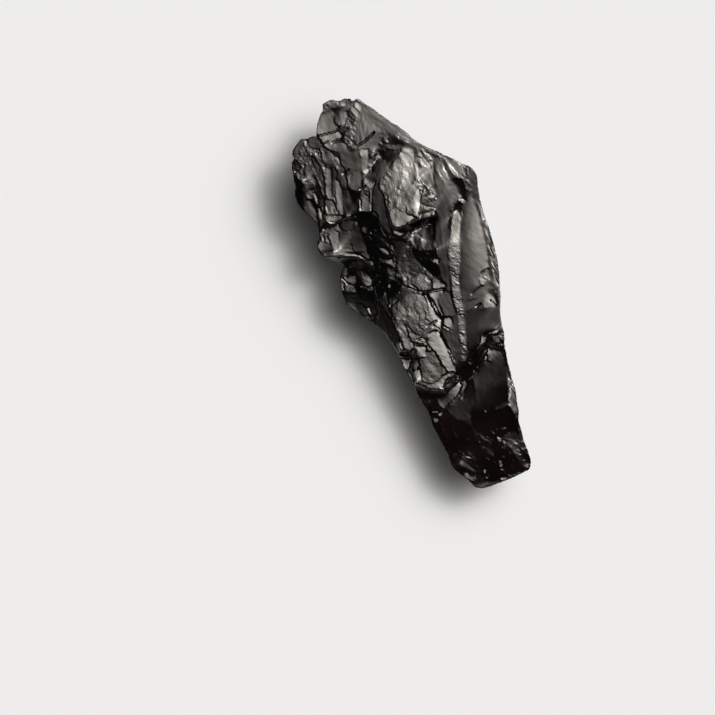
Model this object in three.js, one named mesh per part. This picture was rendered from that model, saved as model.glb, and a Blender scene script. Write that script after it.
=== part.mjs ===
// A piece of noble shungite: one glassy black stone, an elongated wedge broken on all sides.
// It lies on its back on a flat fracture face. Millimetres, +Z up, +X along the stone towards its thin end,
// origin under the middle of its bounding box.
//
// Its upper side is laid out in plan units, x to the right and y down. Each fracture face there has its own lie;
// the surface that follows all of them at once is found by least squares, so faces meet in ridges, and part in
// steps where they can't. Its sides and underside are cut by planes and by shell-shaped (conchoidal) scars.
import * as THREE from 'three';

const UNIT = 0.2; // mm in one plan unit
const TOP = 21.0; // mm, the highest point above the resting face
const LONG_AXIS = -66.5; // degrees, the way the thin end points in plan, anticlockwise from the right
const FRONT_STEP = 4.7; // plan units between the vertices of the upper side
const SIDE_STEP = 4.8; // plan units between the vertices of the sides
const SIDE_WIDTH = 36; // plan units, how far in from the rim they count as sides
const BACK_STEP = 8.0; // plan units between the vertices of the rest of the underside
const RIM_STEP = 5.0; // plan units between the vertices of the rim
const RIM_GAP = 2.4; // plan units, height of the upright edge under the rim
const WALL_STEEPEST = 3.8; // rise over run of the steepest side
const SIDE_DEPTH = 44; // plan units, how far the stone goes down under its rim at least
const SIDE_TURN = 15; // plan units from the rim within which most of that depth is reached
const EVEN = 4.5; // plan units in from the rim over which its notches even out
const GRID = 1.0; // plan units between the nodes that the upper side is solved on

// Outline of the stone seen from above, clockwise from its top tip.
const OUTLINE = [
  322.3,105.5, 323,104, 326,102.5, 328.5,101, 330.5,100.2, 332.5,100, 335,100.8, 337,101, 339,101.2, 341,100.5,
  342.5,99.5, 344.5,98.8, 347,99, 349,98.7, 350.8,99.2, 351.5,100.3, 353.5,101, 355.3,99.8, 357.2,98.9, 359,99.5,
  361,101, 363.5,103, 366,104.6, 370,107, 375,110.3, 380,114.5, 385,117.8, 390,121.5, 395,124.5, 398,126,
  400,128, 403,130.2, 406,132.2, 408.5,134.5, 411,137, 413,139, 416,141, 419,143, 422,144.3, 425,146,
  428,148, 431,149, 434,150, 438,151.5, 441,153, 444,155, 447,156, 450,157.4, 453,158.7, 456,160.5,
  459,162, 462,164, 465,164.6, 468,165.6, 471,167.5, 473,169.5, 475,172, 476.7,175, 477.3,178, 477.8,182,
  478,186, 478.6,190, 479.3,194, 480,198, 481,202, 482,207, 483.5,212, 485,217, 486.8,222, 488.5,226,
  489.5,229, 491,234.5, 493,240, 494.5,246, 496,253, 497.5,260, 498.5,266, 499.3,272, 499.6,278, 499.8,284,
  500,290, 500.6,294, 501,298, 500.4,303, 500.2,309, 500.5,315, 501.3,321, 502.6,327, 504,332, 504.6,338,
  504.4,343, 505.2,348, 506.4,353, 507.3,358, 508.3,363, 509.8,368, 511,373, 512,378, 513.2,382, 514.5,386,
  515.8,391, 516.5,396, 517.2,401, 518,406, 519,410.5, 518.9,415, 518.7,420, 520,425, 521.5,430, 522.8,435,
  523.8,440, 526,445, 528,450, 529.7,455, 531,459, 531.4,463, 531,466, 530,469, 529,470.4, 526,471.8,
  522,473.8, 518,475.8, 514,477.5, 510,479.5, 506,481, 502,482.5, 498,484, 494,485.5, 490,487, 486,488.2,
  483,488.8, 480,488.6, 477,488, 475,487.3, 473.5,485.8, 471,483, 468,480.5, 465,478, 462,476, 459,473.5,
  456,471.5, 453.5,469, 451.5,466.5, 450.2,463, 449.5,459.5, 448.5,456, 447,452.5, 445,449.5, 443,446, 441,442,
  439,438, 437,434, 435,430.5, 433,427, 431.7,423, 431,419.5, 429.5,415.5, 427,410, 423.5,405, 420.5,400,
  417.5,395, 415.5,390, 413,385, 411.3,380, 408.5,375, 406,371, 404,368, 402.5,364, 401,360, 399.2,356.5,
  396,350.5, 390.5,341.5, 384,332.5, 376.5,325.5, 367.5,319.5, 358.5,314, 351.5,308.8, 347,304.5, 344.5,300.5, 343.2,296.5,
  342,293, 341,290, 340.5,287, 340,283, 339.8,279, 340.2,275, 341,271, 342.5,267.5, 344,265, 341,263.4,
  336,261.5, 332,259.8, 327,257.4, 322,255.5, 319.3,253.5, 317.6,250.5, 317,246.5, 317.1,243, 317.9,240.5, 319,238,
  319.1,235, 318.6,231, 317.8,227, 316.4,223, 314,220, 311,218, 308,215.5, 305,213, 302,210, 299.5,207,
  297,203.5, 295.5,200, 294.5,196, 294.3,192, 295,188, 294.6,184, 293.6,181, 293.3,178, 292.9,174, 291.6,170,
  291.4,166, 291.8,162.5, 293,160.4, 293.8,158.6, 293,156.8, 292.1,154.6, 292.3,152, 293.2,149.6, 295,147, 297,144,
  299.5,141, 301.5,139.1, 304,139.4, 307,139, 310,137.6, 313,136.6, 316,136.6, 316.6,135.4, 316.2,132.5, 316.5,129,
  317,125, 318.3,121, 319.3,118, 320.3,115, 321.5,112.6, 322.6,110.5, 322.8,108,
];

// Fracture faces of the upper side, the large ones first and the small ones over them:
// [way the face looks, in degrees anticlockwise from the right; its tilt from level, in degrees; its corners].
// A face that curves has two stations instead: [[x, y, way, tilt], [x, y, way, tilt]; its corners].
const FACES = [
  [[[387.2,295.3,42,3],[454.9,183.5,280,4.4]], [280,90,545,90,545,500,280,500]],
  [[[320.2,204.1,29,5.5],[334.9,200.7,26,6.2]], [286,130,322,130,330,150,345,200,360,262,372,268,400,360,390,362,330,320,300,240,286,200]],
  [[[384.8,294.3,137,6.5],[408.2,295.8,64,2.7]], [360,210,395,228,440,245,446,290,400,300,392,320,376,300,364,262,356,225]],
  [216, 5, [415,380,470,370,500,345,540,420,535,480,480,492,440,450,425,410]],
  [[[334.9,108.5,26,6.1],[335.5,101.1,65,5.3]], [321,113,322,105,330,99,340,100,350,97.5,353,101.5,347,105.5,341,107.6,334,108.4,329,110.8,325,112.6]],
  [[[324,132,35,6.3],[341,112,295,0.7]], [321,112.5,325,112.6,329,110.8,334,108.4,341,107.6,347,105.5,351,103,352,108,348,113,347,122,344,127,340,128.2,337,131.2,332,133,326,134.2,319,136,312,132,314,120]],
  [[[341.3,106.4,235,6.8],[345.2,111.2,71,3.5]], [333,109,341,107.4,348,105.5,352.5,103,354,107,350,110.5,346,111,341,111,337,113.5,333.5,114]],
  [[[332.6,140.8,38,7.1],[328.2,134.5,35,6.9]], [314,136,319,136,326,134.2,332,133,337,131.2,341,134,343,137,340,139.6,335,141.5,331,143.4,326,144,322.5,144.6,318.5,141]],
  [[[337,150,22,3.2],[336,144.3,36,5.5]], [322.5,144.6,326,144,331,142.6,337,142.6,345,143,349,149.5,343,151.5,335,152.2,330,150.6,325,147.6]],
  [[[335,117,146,1.8],[346,122,32,7.6]], [333.6,120.5,334.6,117,337,113.6,341,111.4,345,110.8,348,113,347.5,122,344,126,341,128,338,126.6,334.6,123]],
  [[[345.2,134.2,35,12],[356.3,129.1,35,12]], [348,112,351,108.5,356,106,359,111,357.4,117,356.2,125,356,135,356.8,143,356.5,148.2,349.5,149.8,347,145,343,139.6,343.5,131,344.4,125,347.4,118]],
  [29, 7.5, [354,104.2,357,101.8,359.6,103.5,362.4,109.8,359.5,112.6,357,110,354.6,107.2]],
  [21, 7.3, [350.5,109.5,354.4,107.2,358,112,359,116,356.5,117.6,353.5,114.8]],
  [[[358,130,66,2.7],[371,124,43,3.7]], [358.8,114.5,363,110.3,367,115.4,373,122.4,382,131,377,133,372.8,133.4,368.8,137.8,364,141.8,357,146,356.6,138,356.2,128]],
  [[[378.2,140,320,5.1],[365.3,145.8,357,3.9]], [357,147,363,143,369,138.4,373.4,134,380,132.4,385,137,381,143,378,149,372,151,364,149.4,359,149.4]],
  [[[370,108,35,2.2],[412,142,315,1.8]], [355,97,372,104,400,122,420,140,419,146,411,144,407,141.4,400,137.6,393,133.4,386,131.2,380,128.2,373,121.4,367,115,362.4,109.4,358,102]],
  [318, 1.7, [373,120.4,380,124.8,388,129,396,132.8,404,137.4,411,141.8,414,146,410,144,406,141.6,400,138.4,393,134,386,131.4,380,128.6]],
  [[[420,145,311,3.3],[446,157,240,11.8]], [412,141,420,140,434,146,452,155,450,159,443,157.4,437,155,431,153,425,151.6,420,150,415,147.6]],
  [323, 3.1, [426.5,147.6,430,148.8,435,151,440.5,154.4,444,157,441,157.2,436,154,431,151.4]],
  [255, 6.6, [416,147.8,422,149.6,428,151.4,434,153.6,441,157,438,161,434,158,430,155.4,424,152.6,418,150.6]],
  [[[389.9,149.6,231,11.5],[395.6,136.9,251,4.3]], [384,135,388,132.4,394,134.4,402,139,409,143.6,404,148,400,153,396,158,391,161,386,161.6,380,159,378,152,381,144]],
  [250, 8.5, [391,138.4,395,137.6,399,139.8,404,143.4,400,145.6,394,145,390.6,142.8]],
  [113, 6.2, [386,144.6,391,145,397,146,403,145,401.6,148.6,396,150,390,149,386.4,147.6]],
  [[[383.8,154.3,194,9.2],[394.1,156.4,136,8.4]], [380,151,386,150.4,392,151.4,400,150.6,397,156.8,392,160.4,387,161,381,158.6]],
  [10, 3.7, [380,131.6,384,131,387,134.6,389,139.6,386,141.4,382,139.8,380,136]],
  [153, 2.4, [378.4,143.4,382,141.6,385.4,145,384.6,150.6,379.6,150.4]],
  [[[376,168.8,125,6.8],[385.1,170.6,92,5]], [373,154,380,158,388,162.4,393,162,389,169,386,176,382,180,377.6,185,373.4,181,371.6,170,371.4,160]],
  [[[382,190,35,12],[416,190,81,5.3]], [409,144,413,147.6,416.4,153,416.4,162,417.4,170,417,180,419.4,187,420.6,193,421,200,421.4,204,420.4,208,418.8,214,417.2,218.8,410,222,404,225.6,399,229,395.4,229.4,391.4,226.6,389.8,220,387.4,213,385.6,207,384.6,200,383.6,195,379.6,189.4,378,184,380.6,179.4,385.6,176.2,389.6,167.4,393,162,398,158,401,152,405,148]],
  [[[382,186,42,4.3],[398,166,34,4.5]], [378.4,184,381,179.6,386,176.4,390,167.4,394,162,399,158.6,402,163,403,170,402,178,399,186,394,190,389,196,385,199,383.6,195,380,189.4]],
  [[[403,166,20,8.7],[412,166,38,4.5]], [401,160,405,150,409,145.6,412.6,149,415,156,415,166,414,176,411,184,405,186.6,401.6,186,402.6,178,404,168]],
  [72, 4.3, [401,188,406,186,414,184,418.6,187.4,419.6,191,416,198,412,203,409,208.6,404,208,400,203,399.6,196]],
  [[[391.1,202.6,33,8.4],[400.5,202,41,5]], [388,196,394,191.4,400,190,401,197,402,204,408,208,406,212,398,211,391,211.4,387.6,206]],
  [[[414,200,53,7.2],[420,200,17,9.6]], [417.6,190.4,420.4,193,421,200,421.4,204,420,208.6,418.4,215.4,415.4,214.4,412.4,209.4,411.4,204,414,198]],
  [[[405.5,223.1,35,12],[403,219.4,35,12]], [395.6,220.6,402,217.6,408,214.6,413,215.6,417,218.6,410,222,404,225.6,399,229,395.4,229]],
  [[[393.9,222.3,21,4.3],[397.4,212.7,49,5]], [387.6,212,392,211.4,398,211,406,212.6,407.6,215,401,218,396,220.4,395.4,229,391.4,226.6,389.8,220]],
  [271, 2.7, [414,147.6,417,149,421.4,150,426,153.4,431,156.4,433.4,163,430.6,167.6,424,167.8,419,162,416.6,155]],
  [2, 4.6, [420,158,424,158.4,428,162,431,166,429.4,168,425,166.8,421.6,163]],
  [[[420,172,51,3.9],[430,180,356,2.1]], [417.6,170,422,167.6,426,166.6,431,168.4,432.4,178,431.6,186,428.4,188.6,424,184.4,420,180.6,417.2,177]],
  [[[432,192.6,20,10.2],[423.6,194.8,35,12]], [417.6,180,420.4,181,424,184.8,428.4,189,434,188.4,436,194,435.8,201,433.6,207,429,203.4,424,198.4,420.4,192.4]],
  [339, 6.2, [420.6,193,424.6,198.4,429.4,202.4,433.4,207.4,429,206.4,424,204.4,421.4,201]],
  [[[424.9,216.3,74,29],[424.9,209.5,54,23.3]], [421.4,203.4,427,206.2,433,209.6,434.4,213,430.4,216.4,424,218.6,418.8,219,420.4,211]],
  [55, 22.7, [424,204,429,207,433.4,210.6,433,213,429,211,425,208]],
  [[[387,205,303,2.7],[374,205,136,1.3]], [373,190,377.6,185.4,380.4,190,384,196,385,203,386.6,210,388,217,390,225,391.4,231.6,388,235.6,384,232.6,379,225,375,217.6,372,210,371.6,200]],
  [[[410,222,300,58],[404,236,35,12]], [417.8,219.4,424,219,430,217.4,434.4,214,436.4,218,434.4,222.6,428,225.6,422,227.4,416,227.4,410.6,229.6,406,233.6,401,236.6,396,238.4,390.6,236.4,393,231.6,398,229.8,404,226,410,222.4]],
  [[[429,240.5,104,9.9],[415.3,236.9,122,9.5]], [410.6,231,416.4,227.6,424,226.4,430.6,224.4,434.6,222,434.4,232,433.4,240,434,246.4,430,249.4,424,250.4,417,249.6,412,246.6,410.6,239]],
  [[[422,238,69,12.7],[426,238,89,11.9]], [421.6,229,424.6,228,426,236,425.6,244,424,249.4,421.6,249]],
  [37, 4.6, [410.8,235,412.8,234,414,241,416.4,247.6,413.8,247.6,411.4,243]],
  [96, 11.1, [414.4,232,418,232.4,419.8,238,420.4,242,417.6,241,415,237]],
  [111, 12.3, [428.6,226,434.4,222.4,434.2,232,433.2,240,433.6,246,431,247,430,238]],
  [239, 11.8, [411.6,248,417,250.6,424,251.4,430,250.6,436.4,248,438.6,262,438.8,275,435.4,277.6,428,271.4,420,264.6,414,257,411,252]],
  [36, 6.5, [430.6,261.6,434,258.8,439,258.8,439,262,434,263.4]],
  [[[373.4,263,216,10.6],[394.8,260.2,246,3.6]], [372,226,378,224,391,236,397,240,410,232,411,247,414,257,420,264,428,271,426,275,412,271,404,272,402,280,407,284,400,293,390,297,384,291,380,302,374,296,374,277,368,268,372,260,366,250,364,240,367,228]],
  [16, 5.7, [377.6,223.4,379.6,224,384,232,388,237,391.4,242,387,239.6,382,233.6]],
  [[[381.1,242.2,244,6.6],[385.3,240.1,283,3.3]], [378,232,382,234.4,388,240,390,246,386,249.4,380,244.4,377,238]],
  [26, 5, [378.8,248,384,247.6,389.4,252,388.4,254.4,383,252.6,379.8,250.4]],
  [30, 9.6, [390.6,245,394,246,396.6,252.4,393.4,254,391,250]],
  [14, 4, [402,246.6,407.4,246,407.4,250.4,403.4,252.6]],
  [286, 6.2, [393,240,401,240.6,409,243,410,252,414,258,405,262,398,261,394,255]],
  [37, 5.4, [376,263.4,384,260.6,392,258.4,393.2,262,390.4,264.6,384,262.8,377,264.4]],
  [63, 4.3, [365,261,371,259.6,375.4,263,374,266.4,369,265.6]],
  [13, 4.1, [390,268,394,271,396,276,393,278,388.4,273]],
  [0, 3.4, [397.4,262,401,262.6,402,268,401.4,275,398.4,277,397.8,270]],
  [188, 11.9, [384,287,388,282.4,393,281,398,283,400.4,288,397,293,391,296.4,386.6,294.6,384,290.6]],
  [34, 8.1, [387.4,286.8,389.6,284,391.4,284.4,390.4,287,388,288.4]],
  [[[413.2,262.6,272,3.8],[408.7,270.2,289,4.3]], [402,262,406,258,412,257.4,419,264.4,426,271.4,424.6,275,416,271,408,271,403,276,401,270]],
  [49, 4.6, [402,277,408,275.6,414,278,421,277.4,425,275.4,432,275.4,438,277.4,441.4,281.6,445.4,284,446.4,288.4,438,290,430,291,422,292,414,290.4,408,287.4,403.6,283]],
  [219, 4.7, [408,272.4,414,273.4,420.4,274,414,277,408.6,275.4]],
  [262, 6.2, [409,270.4,415,270.8,420.6,272.2,420.4,273.6,414,272.4,409,271.8]],
  [35, 12, [407,283.4,411,284.4,417,288,419,290.4,414,289.6,409,286.8]],
  [35, 12, [423.6,278.6,428,279,432,282,428,283,425,281]],
  [30, 6.9, [433,283,440,282,445.6,285,445.4,288,438,289,432,288.6]],
  [[[346,160,351,1.9],[357,156,36,0.8]], [339,153,345,151.4,352,150.4,360,149.6,361,158,361,171,355,172.4,347,172,341.6,167,340,160]],
  [[[362,160,347,3.7],[367,160,8,5.5]], [360.6,155,368.4,154,368,162,366.8,171,361.6,171.6,360.6,163]],
  [25, 7.5, [358.6,153.6,360.6,150.4,364,149.2,368.8,149.4,368.4,154,363.6,154.4,361,158]],
  [[[373.5,161.5,332,15.1],[369.7,161.2,111,1.8]], [368.4,155,373,151.8,377,153.4,375,162,373,170,371.4,175,367,171.6,368,163]],
  [[[350,178,33,1.1],[358,184,75,3.5]], [346,172.4,353,171.6,361,171.4,362.4,180,361.4,187,357.4,191,352,191,348,188.4,346.4,182]],
  [26, 5.4, [346,178,349.6,174.6,352.4,175,350.6,179.4,350.8,184,347.6,184.6]],
  [[[371.4,180.6,94,3.4],[364.8,183.2,47,6.1]], [362,171.4,370,170.8,372.6,177,374.6,182,372,188,368.4,192.6,365,190.6,363,186,362.4,180]],
  [39, 10.1, [363,171.8,367.6,169.4,369.6,170.4,368.4,173.6,364.6,174.4]],
  [201, 1.2, [340,188,348,189,350.6,194,354,203.6,360,200,360,208,357.6,213.6,352.4,216,347,215.4,343.4,217,342.4,206]],
  [201, 10.5, [347.4,188.2,352,191,357.4,191.6,362.6,188.4,359.6,195,356.6,200,354,203.6,351,198,349.6,193]],
  [342, 2.4, [361,190.6,365,190.4,369,192,370.6,198,368.6,196.4,364.6,194.6,360.6,197]],
  [[[361,204,31,5.1],[369,204,64,2.5]], [359.6,197.4,364.6,194.6,369,196,370.6,203,370.4,210.4,366,213.4,360,212.6,358.6,209.4,359.4,202]],
  [35, 12, [359.4,199,361,198.6,361,205,361.2,212.4,358.8,212,358.4,207]],
  [235, 11.6, [357,214,361,212.4,367,213,373,210.6,377.6,214.6,378,222,372,229,367,229,361,230,357.4,223]],
  [341, 1.1, [370,212.4,374,211.6,377.4,215,377.6,220,374,218,371,216]],
  [351, 3.7, [360.6,229.6,364,226,367.4,226.4,367,230,364,234.6,361,233]],
  [330, 2.1, [330,163,340,163,346,171,347.4,187,343,190,338,181,333,174]],
  [34, 9.9, [334.6,167,337,164.6,340,168,340,170.6,336.6,170]],
  [[[325.4,180,15,8],[331,180,22,3.7]], [324.4,168,328.6,165.4,331.4,171,331.6,185,332,195,331.4,199.6,327.6,200.4,325.4,195,325,182]],
  [[[332.7,178.2,263,2.2],[335.1,178.5,335,2.6]], [331.4,168,335,166,337.4,174,335.6,185,334.8,196,332.6,199,331.8,185]],
  [[[335.6,200,17,7.1],[343,200,41,3.7]], [335.4,180,338.6,181,342.4,190,342.6,205,344,215,342,216.6,338,215.6,336,205,335,195]],
  [26, 4.9, [324,203,328.6,200.6,333,200.6,336,207,339,214.6,334,215.6,329,215,325,216,323.6,209]],
  [35, 11.1, [325.4,207.6,328,207,327.8,212,325.8,212.6]],
  [30, 7, [325.6,218,332,215.4,340,215.4,344,216,340,220.4,335.4,224.6,329,224.8,325,222]],
  [35, 12, [327.6,221.6,332.6,221.4,333.6,223.8,328.6,224.6]],
  [280, 52, [321.6,228.4,326,226,331,225,336,224.8,340,221,345.6,217.2,350.4,215.6,350.6,217,346.4,219,341,222.6,336.4,226.4,330,227,325,229]],
  [35, 11.4, [317.2,208,320.6,207.6,322.4,213,323.4,217.6,321,221.6,318.4,219.6,317.8,213]],
  [34, 1.8, [290,150,299,138,307,136,317,134.6,320.4,141,323.4,145,319.4,149.4,312,148.4,308,145.6,304,147,300,151,296,153,290,156]],
  [33, 8.5, [304,141,308,140.6,307.6,144,306,147.6,303.8,145.4]],
  [[[312,160,31,7],[300,185,0,1.5]], [290,156,296,152.6,304,146.6,312,148,320,149.6,326,160,329,168,325.4,175,325.2,200,318,208,311,201,306,199.6,304.6,184,299,180,292,176,290,166]],
  [[[323.4,168.7,242,1.8],[314.3,181.9,356,3.3]], [311.4,156,314.6,157,318.6,163,321.6,170,324.6,182,325,196,323,198,320.4,190,318,181,315,171,312,163]],
  [11, 2.4, [304,164,310,166,313,172,314,180,309.6,180.6,304.6,173]],
  [57, 5.6, [295,172,299.4,172.6,300.4,178,296.4,176.6]],
  [[[330.9,164.4,36,3.1],[328.1,152.7,9,2.5]], [319.6,150,325,148.6,331,152,338,156.6,340.6,163,336,165.6,331,168,327,168,322,160]],
  [[[304,195,193,3.7],[295,195,200,28]], [288,176,293,176,299,180,304.4,184,305.6,191,306.6,199.6,311.4,201.4,314.6,206.6,317.4,212.6,319,222,320,230,312,228,288,208]],
  [[[311.8,188,320,6.3],[306.1,193.2,22,9]], [304.4,181,308.6,180.6,312.6,186,314.6,192,312.4,199.4,307,200.2,305.2,193]],
  [295, 10.5, [309,190,312.4,188,313.6,188.8,310.4,191.4]],
  [24, 7.6, [313.2,194.6,315.8,192.6,318.6,199.6,317.4,205.6,315,203.4]],
  [304, 1.3, [319,199.6,324,197.6,325,205,322.4,208,318.6,207.6]],
  [37, 0.9, [318.4,221,323,218,325,222,323.4,226.4,320,230.6,318.4,226]],
  [[[325,240,43,7.1],[360,240,348,5.3]], [316,252,316,242,318.4,233.6,323,229.4,331,227.4,338,224.4,343,221,348,218.4,352.6,217.6,357,221,359,228,363.6,234.4,365.8,243,367.6,252,371.4,260,366,262,360,259,354,257.4,346,257,338,255.6,330,256,324,255]],
  [30, 0.9, [338,226,343,221.4,350,218.8,355.4,221.4,353,227,350,230.4,343,230]],
  [[[330,240,45,6.6],[338,240,55,4.3]], [329.6,233.4,333.6,230.2,338.6,231.4,339.2,240,338.4,246,341.4,250.4,337.6,253,333.4,249.6,330.4,243.4,328.4,238]],
  [[[348.2,239.4,306,3.1],[342,241,332,2.1]], [339,231.6,349,231.4,351,240,350,249.6,342.4,250.4,339.4,242]],
  [[[352,235,261,4.1],[364,245,324,6.6]], [349.6,231,353,227,357.6,224,360.6,231.4,364.6,240,366.6,250,362.4,252.6,353.4,251.8,351,241]],
  [[[350,257.2,21,9.7],[350,253.6,355,11.7]], [333.6,250,338,253,342,250.8,350,252.6,360,254.4,367,259.4,371,261,366,261.6,360,259,354,257.4,346,257,338,255.6,334.6,254.4]],
  [[[326.9,252.9,114,11.7],[323.5,244.6,46,7.7]], [319,240.6,324,243,329.6,243.6,333.4,250,334,255.4,327,255,320,253.6,316.6,247]],
  [36, 6.4, [318.6,233.4,323,231.6,328,234.4,328.4,240.6,323,240.6,319.4,239]],
  [38, 7.5, [320.6,236.4,323,236,325,240.6,324.4,243.4,321.4,242]],
  [[[345,256,280,52],[350,266,25,8.9]], [316,253.4,324,255.2,332,256.4,340,256.2,348,257.4,354,257.8,360,259.6,366,262.4,369.4,264.6,374,268,372,272,366,270,361,269.4,356,269.4,350,268.6,345,268,339,266,316,258]],
  [[[365.5,291.7,227,11.4],[360.6,309.6,342,3.8]], [336,266,345,266,350,268.4,358,269,366,270.6,374,277,375,290,377,300,379,312,386,322,398,344,402,357,380,345,340,315,334,290]],
  [[[341.6,275.2,152,3.3],[345,276.7,27,5.5]], [337,290,338,276,342,268,346,266.4,348.6,268.4,347.4,275,344.4,279,343.4,284,344.4,290.4,340,292]],
  [[[354,282,12,2.2],[349.6,277.8,65,3.6]], [344.6,279,350,275.2,356,275,357.4,282,354,285.4,349.4,283.4,346,281.6]],
  [[[351.9,290.7,323,4.1],[347.9,285.6,34,3.1]], [344,284,349,283.4,355,286,356.4,291,352,293.4,346,292.6]],
  [272, 5, [345.6,293,352,294,358.4,293.6,360.4,297.4,356,298.6,350,297.6]],
  [[[358,276,257,3.7],[370,281,20,6.1]], [355,270,361,269.6,366.4,273,371.4,277,373,282,371.6,287,365,286.4,361,282.4,358.6,277]],
  [228, 11.4, [357,284,360.6,282.4,364.6,286.6,370,287.2,366,289,361,290.4,357,290]],
  [29, 5.7, [366,288.8,373.2,286.6,373.8,290.6,368,291.4]],
  [[[361.3,305.4,254,4.1],[362.5,313.5,314,2.3]], [354,302,362,304,368,309.4,371,316,364,316,356,309]],
  [32, 10, [366.8,308,369.6,306.8,371.2,312.6,370,315.4,368,313]],
  [41, 10.4, [377.6,319,379.4,318.6,380,320.8,378.4,321.8,377.2,320.6]],
  [[[394,330,210,36],[386,338,210,42]], [376,300,381,303,385,312,389.6,318.6,393,322,397,331,400.6,343,403,352,400,360,390,352,380,335,374,322,378,312]],
  [[[436,250,220,2],[447,250,321,3.4]], [431.6,160,437,158,440,162,446,173,452,184,458,190,462,199,456,206,450,216,447.6,228,448,240,447.6,250,449,262,450,275,451,290,453,300,456.4,315,458.6,330,460.4,345,461.4,362,457.4,369.4,452,362,446,345,441,330,443,320,440,310,436,300,433,292,443,289.6,446.4,285,439.4,276,439,260,436.4,246,434.6,236,435,220,436.4,205,435.4,194,432.4,178,432.6,170]],
  [[[441,172,54,1.4],[452,190,329,7.7]], [437,161.4,440.4,162.4,445,170,448.4,178,452,184,458,190,461,194.6,457,197.6,451,195.4,448,190,445,182,440,174.6,436,168]],
  [[[446,164,182,3.3],[463,190,265,6.7]], [439.4,157.2,446,158,450,165,456,174,461,178.4,464.6,182,466.6,190,467.4,198,464,203.4,461,198,458,191,453,184,448,176,444,168]],
  [253, 10.6, [451.4,177.6,457,178,462,177,464.6,184,467.4,191,466.6,202,462.6,200.4,460.4,190.6,455,183.4]],
  [[[450,162,204,0.4],[460,170,80,1.3]], [443.6,156.4,450,158,456,160.6,460.6,164,464.6,168,463.6,173,461,176.4,458,177.4,453.8,172,448.6,165]],
  [73, 2.3, [443.4,156.6,445,157.2,449.4,163.8,454.4,170.6,458.6,175.4,461.4,175.4,460.6,177.2,458,177.8,453.8,173,448.6,165.8]],
  [[[466,172,223,4],[475,178,299,6.9]], [464,163,471,165.4,478,172,480,182,481,194,475,191,470.4,184.4,466,180.4,464,175,466,170]],
  [204, 4.4, [461,165,464.6,164.8,467.4,169.4,468.6,174.4,467.2,178.4,464.4,176.4,463.2,171]],
  [292, 8.6, [464.6,180.6,468,180,470.4,184.6,473.4,189,473.6,195,471,193,468.6,188]],
  [[[456,206,305,17.1],[450,224,222,5]], [455,203.6,459,199.6,464,203.6,461.4,208,457,214,453.4,222,451,230,448,228,448.4,219,450.4,211]],
  [[[464,240,135,1.1],[485,240,17,7.7]], [461,208,466,201,470,194,472.6,190,476,198,482,207,484.4,218,486,230,488,242,490,256,491,266,487,270,483,276,480,286,470,291,461,291,460,275,461,262,461,245,462,230,461,216]],
  [43, 6.1, [460,211,462.4,209.6,464,215,463.4,219,461.4,217]],
  [239, 3.3, [471.6,190,474,193,475.6,199,478.4,205,480.6,212,482.6,220,484,226,482,226,480,218,477.4,209,474,202,472.6,197]],
  [[[465,310,354,2.3],[497,310,190,2.5]], [461,290,470,290.6,480,285,484,288.6,490,290,502,290,503,300,503,315,506,330,500,333,492,331.6,486,333.4,481,336.6,475.4,345,470,356,466,362,466,345,464,330,464.6,315,463,300]],
  [[[478.4,296.5,339,4],[478.6,288.5,340,6.1]], [472,291,480,285.6,486,286,488,291,482,296,474,299,468,301]],
  [[[486.4,272.8,357,7.4],[481.5,281.1,23,9.7]], [479,277,482,272.4,487,269,490.4,275,490.4,279,486,280.6,483,286,480,283.6]],
  [26, 10.2, [483,275.4,485,274.6,487,277,490.4,278.4,490,280,486,279,483.6,278]],
  [19, 6.9, [488,292.6,491,293.4,494,297.4,496.4,303,494.4,306.4,490,307.4,484,308.4,483.6,303,485.4,297.4]],
  [23, 8.3, [488.6,296,491,297,493,300.4,490,300,488.6,303,487,303.6,487,299.6]],
  [15, 5.2, [485.4,305.4,489,304,494,304.6,494.4,306.6,490,307.4,484.6,308.4]],
  [[[471.5,332.7,255,2.2],[488.4,315.2,241,2.2]], [466,312,476,308,488,311,499,312,501,322,494,330,484,333,474,342,468,350,467,338,465,325]],
  [[[487,252.6,315,9],[489.1,252.1,328,8.1]], [480.4,214,482.6,221,485.4,231,487.8,243,490.4,256,492.4,266,494,277,490.6,274,489,266,488,257,486,244,483.4,232,480.6,222]],
  [[[490.4,255.1,35,12],[495,253.7,35,12]], [483,221,487,219,492,228,496,244,499,258,502,272,502,288,498.6,288,495.4,281,492.8,269,490.8,257,488.2,243,485.6,231]],
  [[[495.2,294.7,225,1.9],[499.3,292.1,17,5.5]], [492.8,279,495.6,283,498.6,288.6,503,290,503,303,499,305,496,299,494,291]],
  [[[452,270,35,12],[461,270,35,12]], [451,223,453,214,456,210.6,459.4,212,461,218,460,228,459.2,240,459.4,252,460,262,458.8,272,459.4,282,459.8,292,462.2,300,463.6,312,464.2,325,464.6,335,466.6,345,466.4,355,465.4,364,461.6,365,461,350,458.6,338,458.6,325,456.6,310,453.6,303,452,290,451,280,449.8,268,447.8,256,448.6,246,450.6,235]],
  [35, 12, [458.8,334,462,333,465,340,466.6,347,466,352,463,348,460.4,341]],
  [[[449.7,243.5,328,1.5],[455.4,242.1,28,8.6]], [449,239,453,236.6,457.6,239,457.6,246,452,247,448.4,250.4,450.6,262,449,262,447.4,254]],
  [44, 8.6, [383,292,386.6,295.6,389.6,303.4,398,299,401,303,397,310,393.4,318.6,390.6,314,388.4,308,386,300]],
  [85, 5.5, [382.6,291.6,384.6,291.6,387.6,297,389.4,304.4,387.6,305,385.4,298]],
  [[[402,310,305,1.4],[432,340,35,12]], [392,317.6,390.6,306,396,302,404,296,412,292,424,293.4,428,298,431,306,434,313,438,320,439,326.6,435,330,438.4,337,442.4,345,447,354,451,363,454,370.4,457,375,452,377.6,447,378.6,444,383,441,388,436,389.4,428,389,420,385.4,415,380,412.4,374,409,370,406,366,402,357,398,345,400,335,396,323]],
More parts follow.
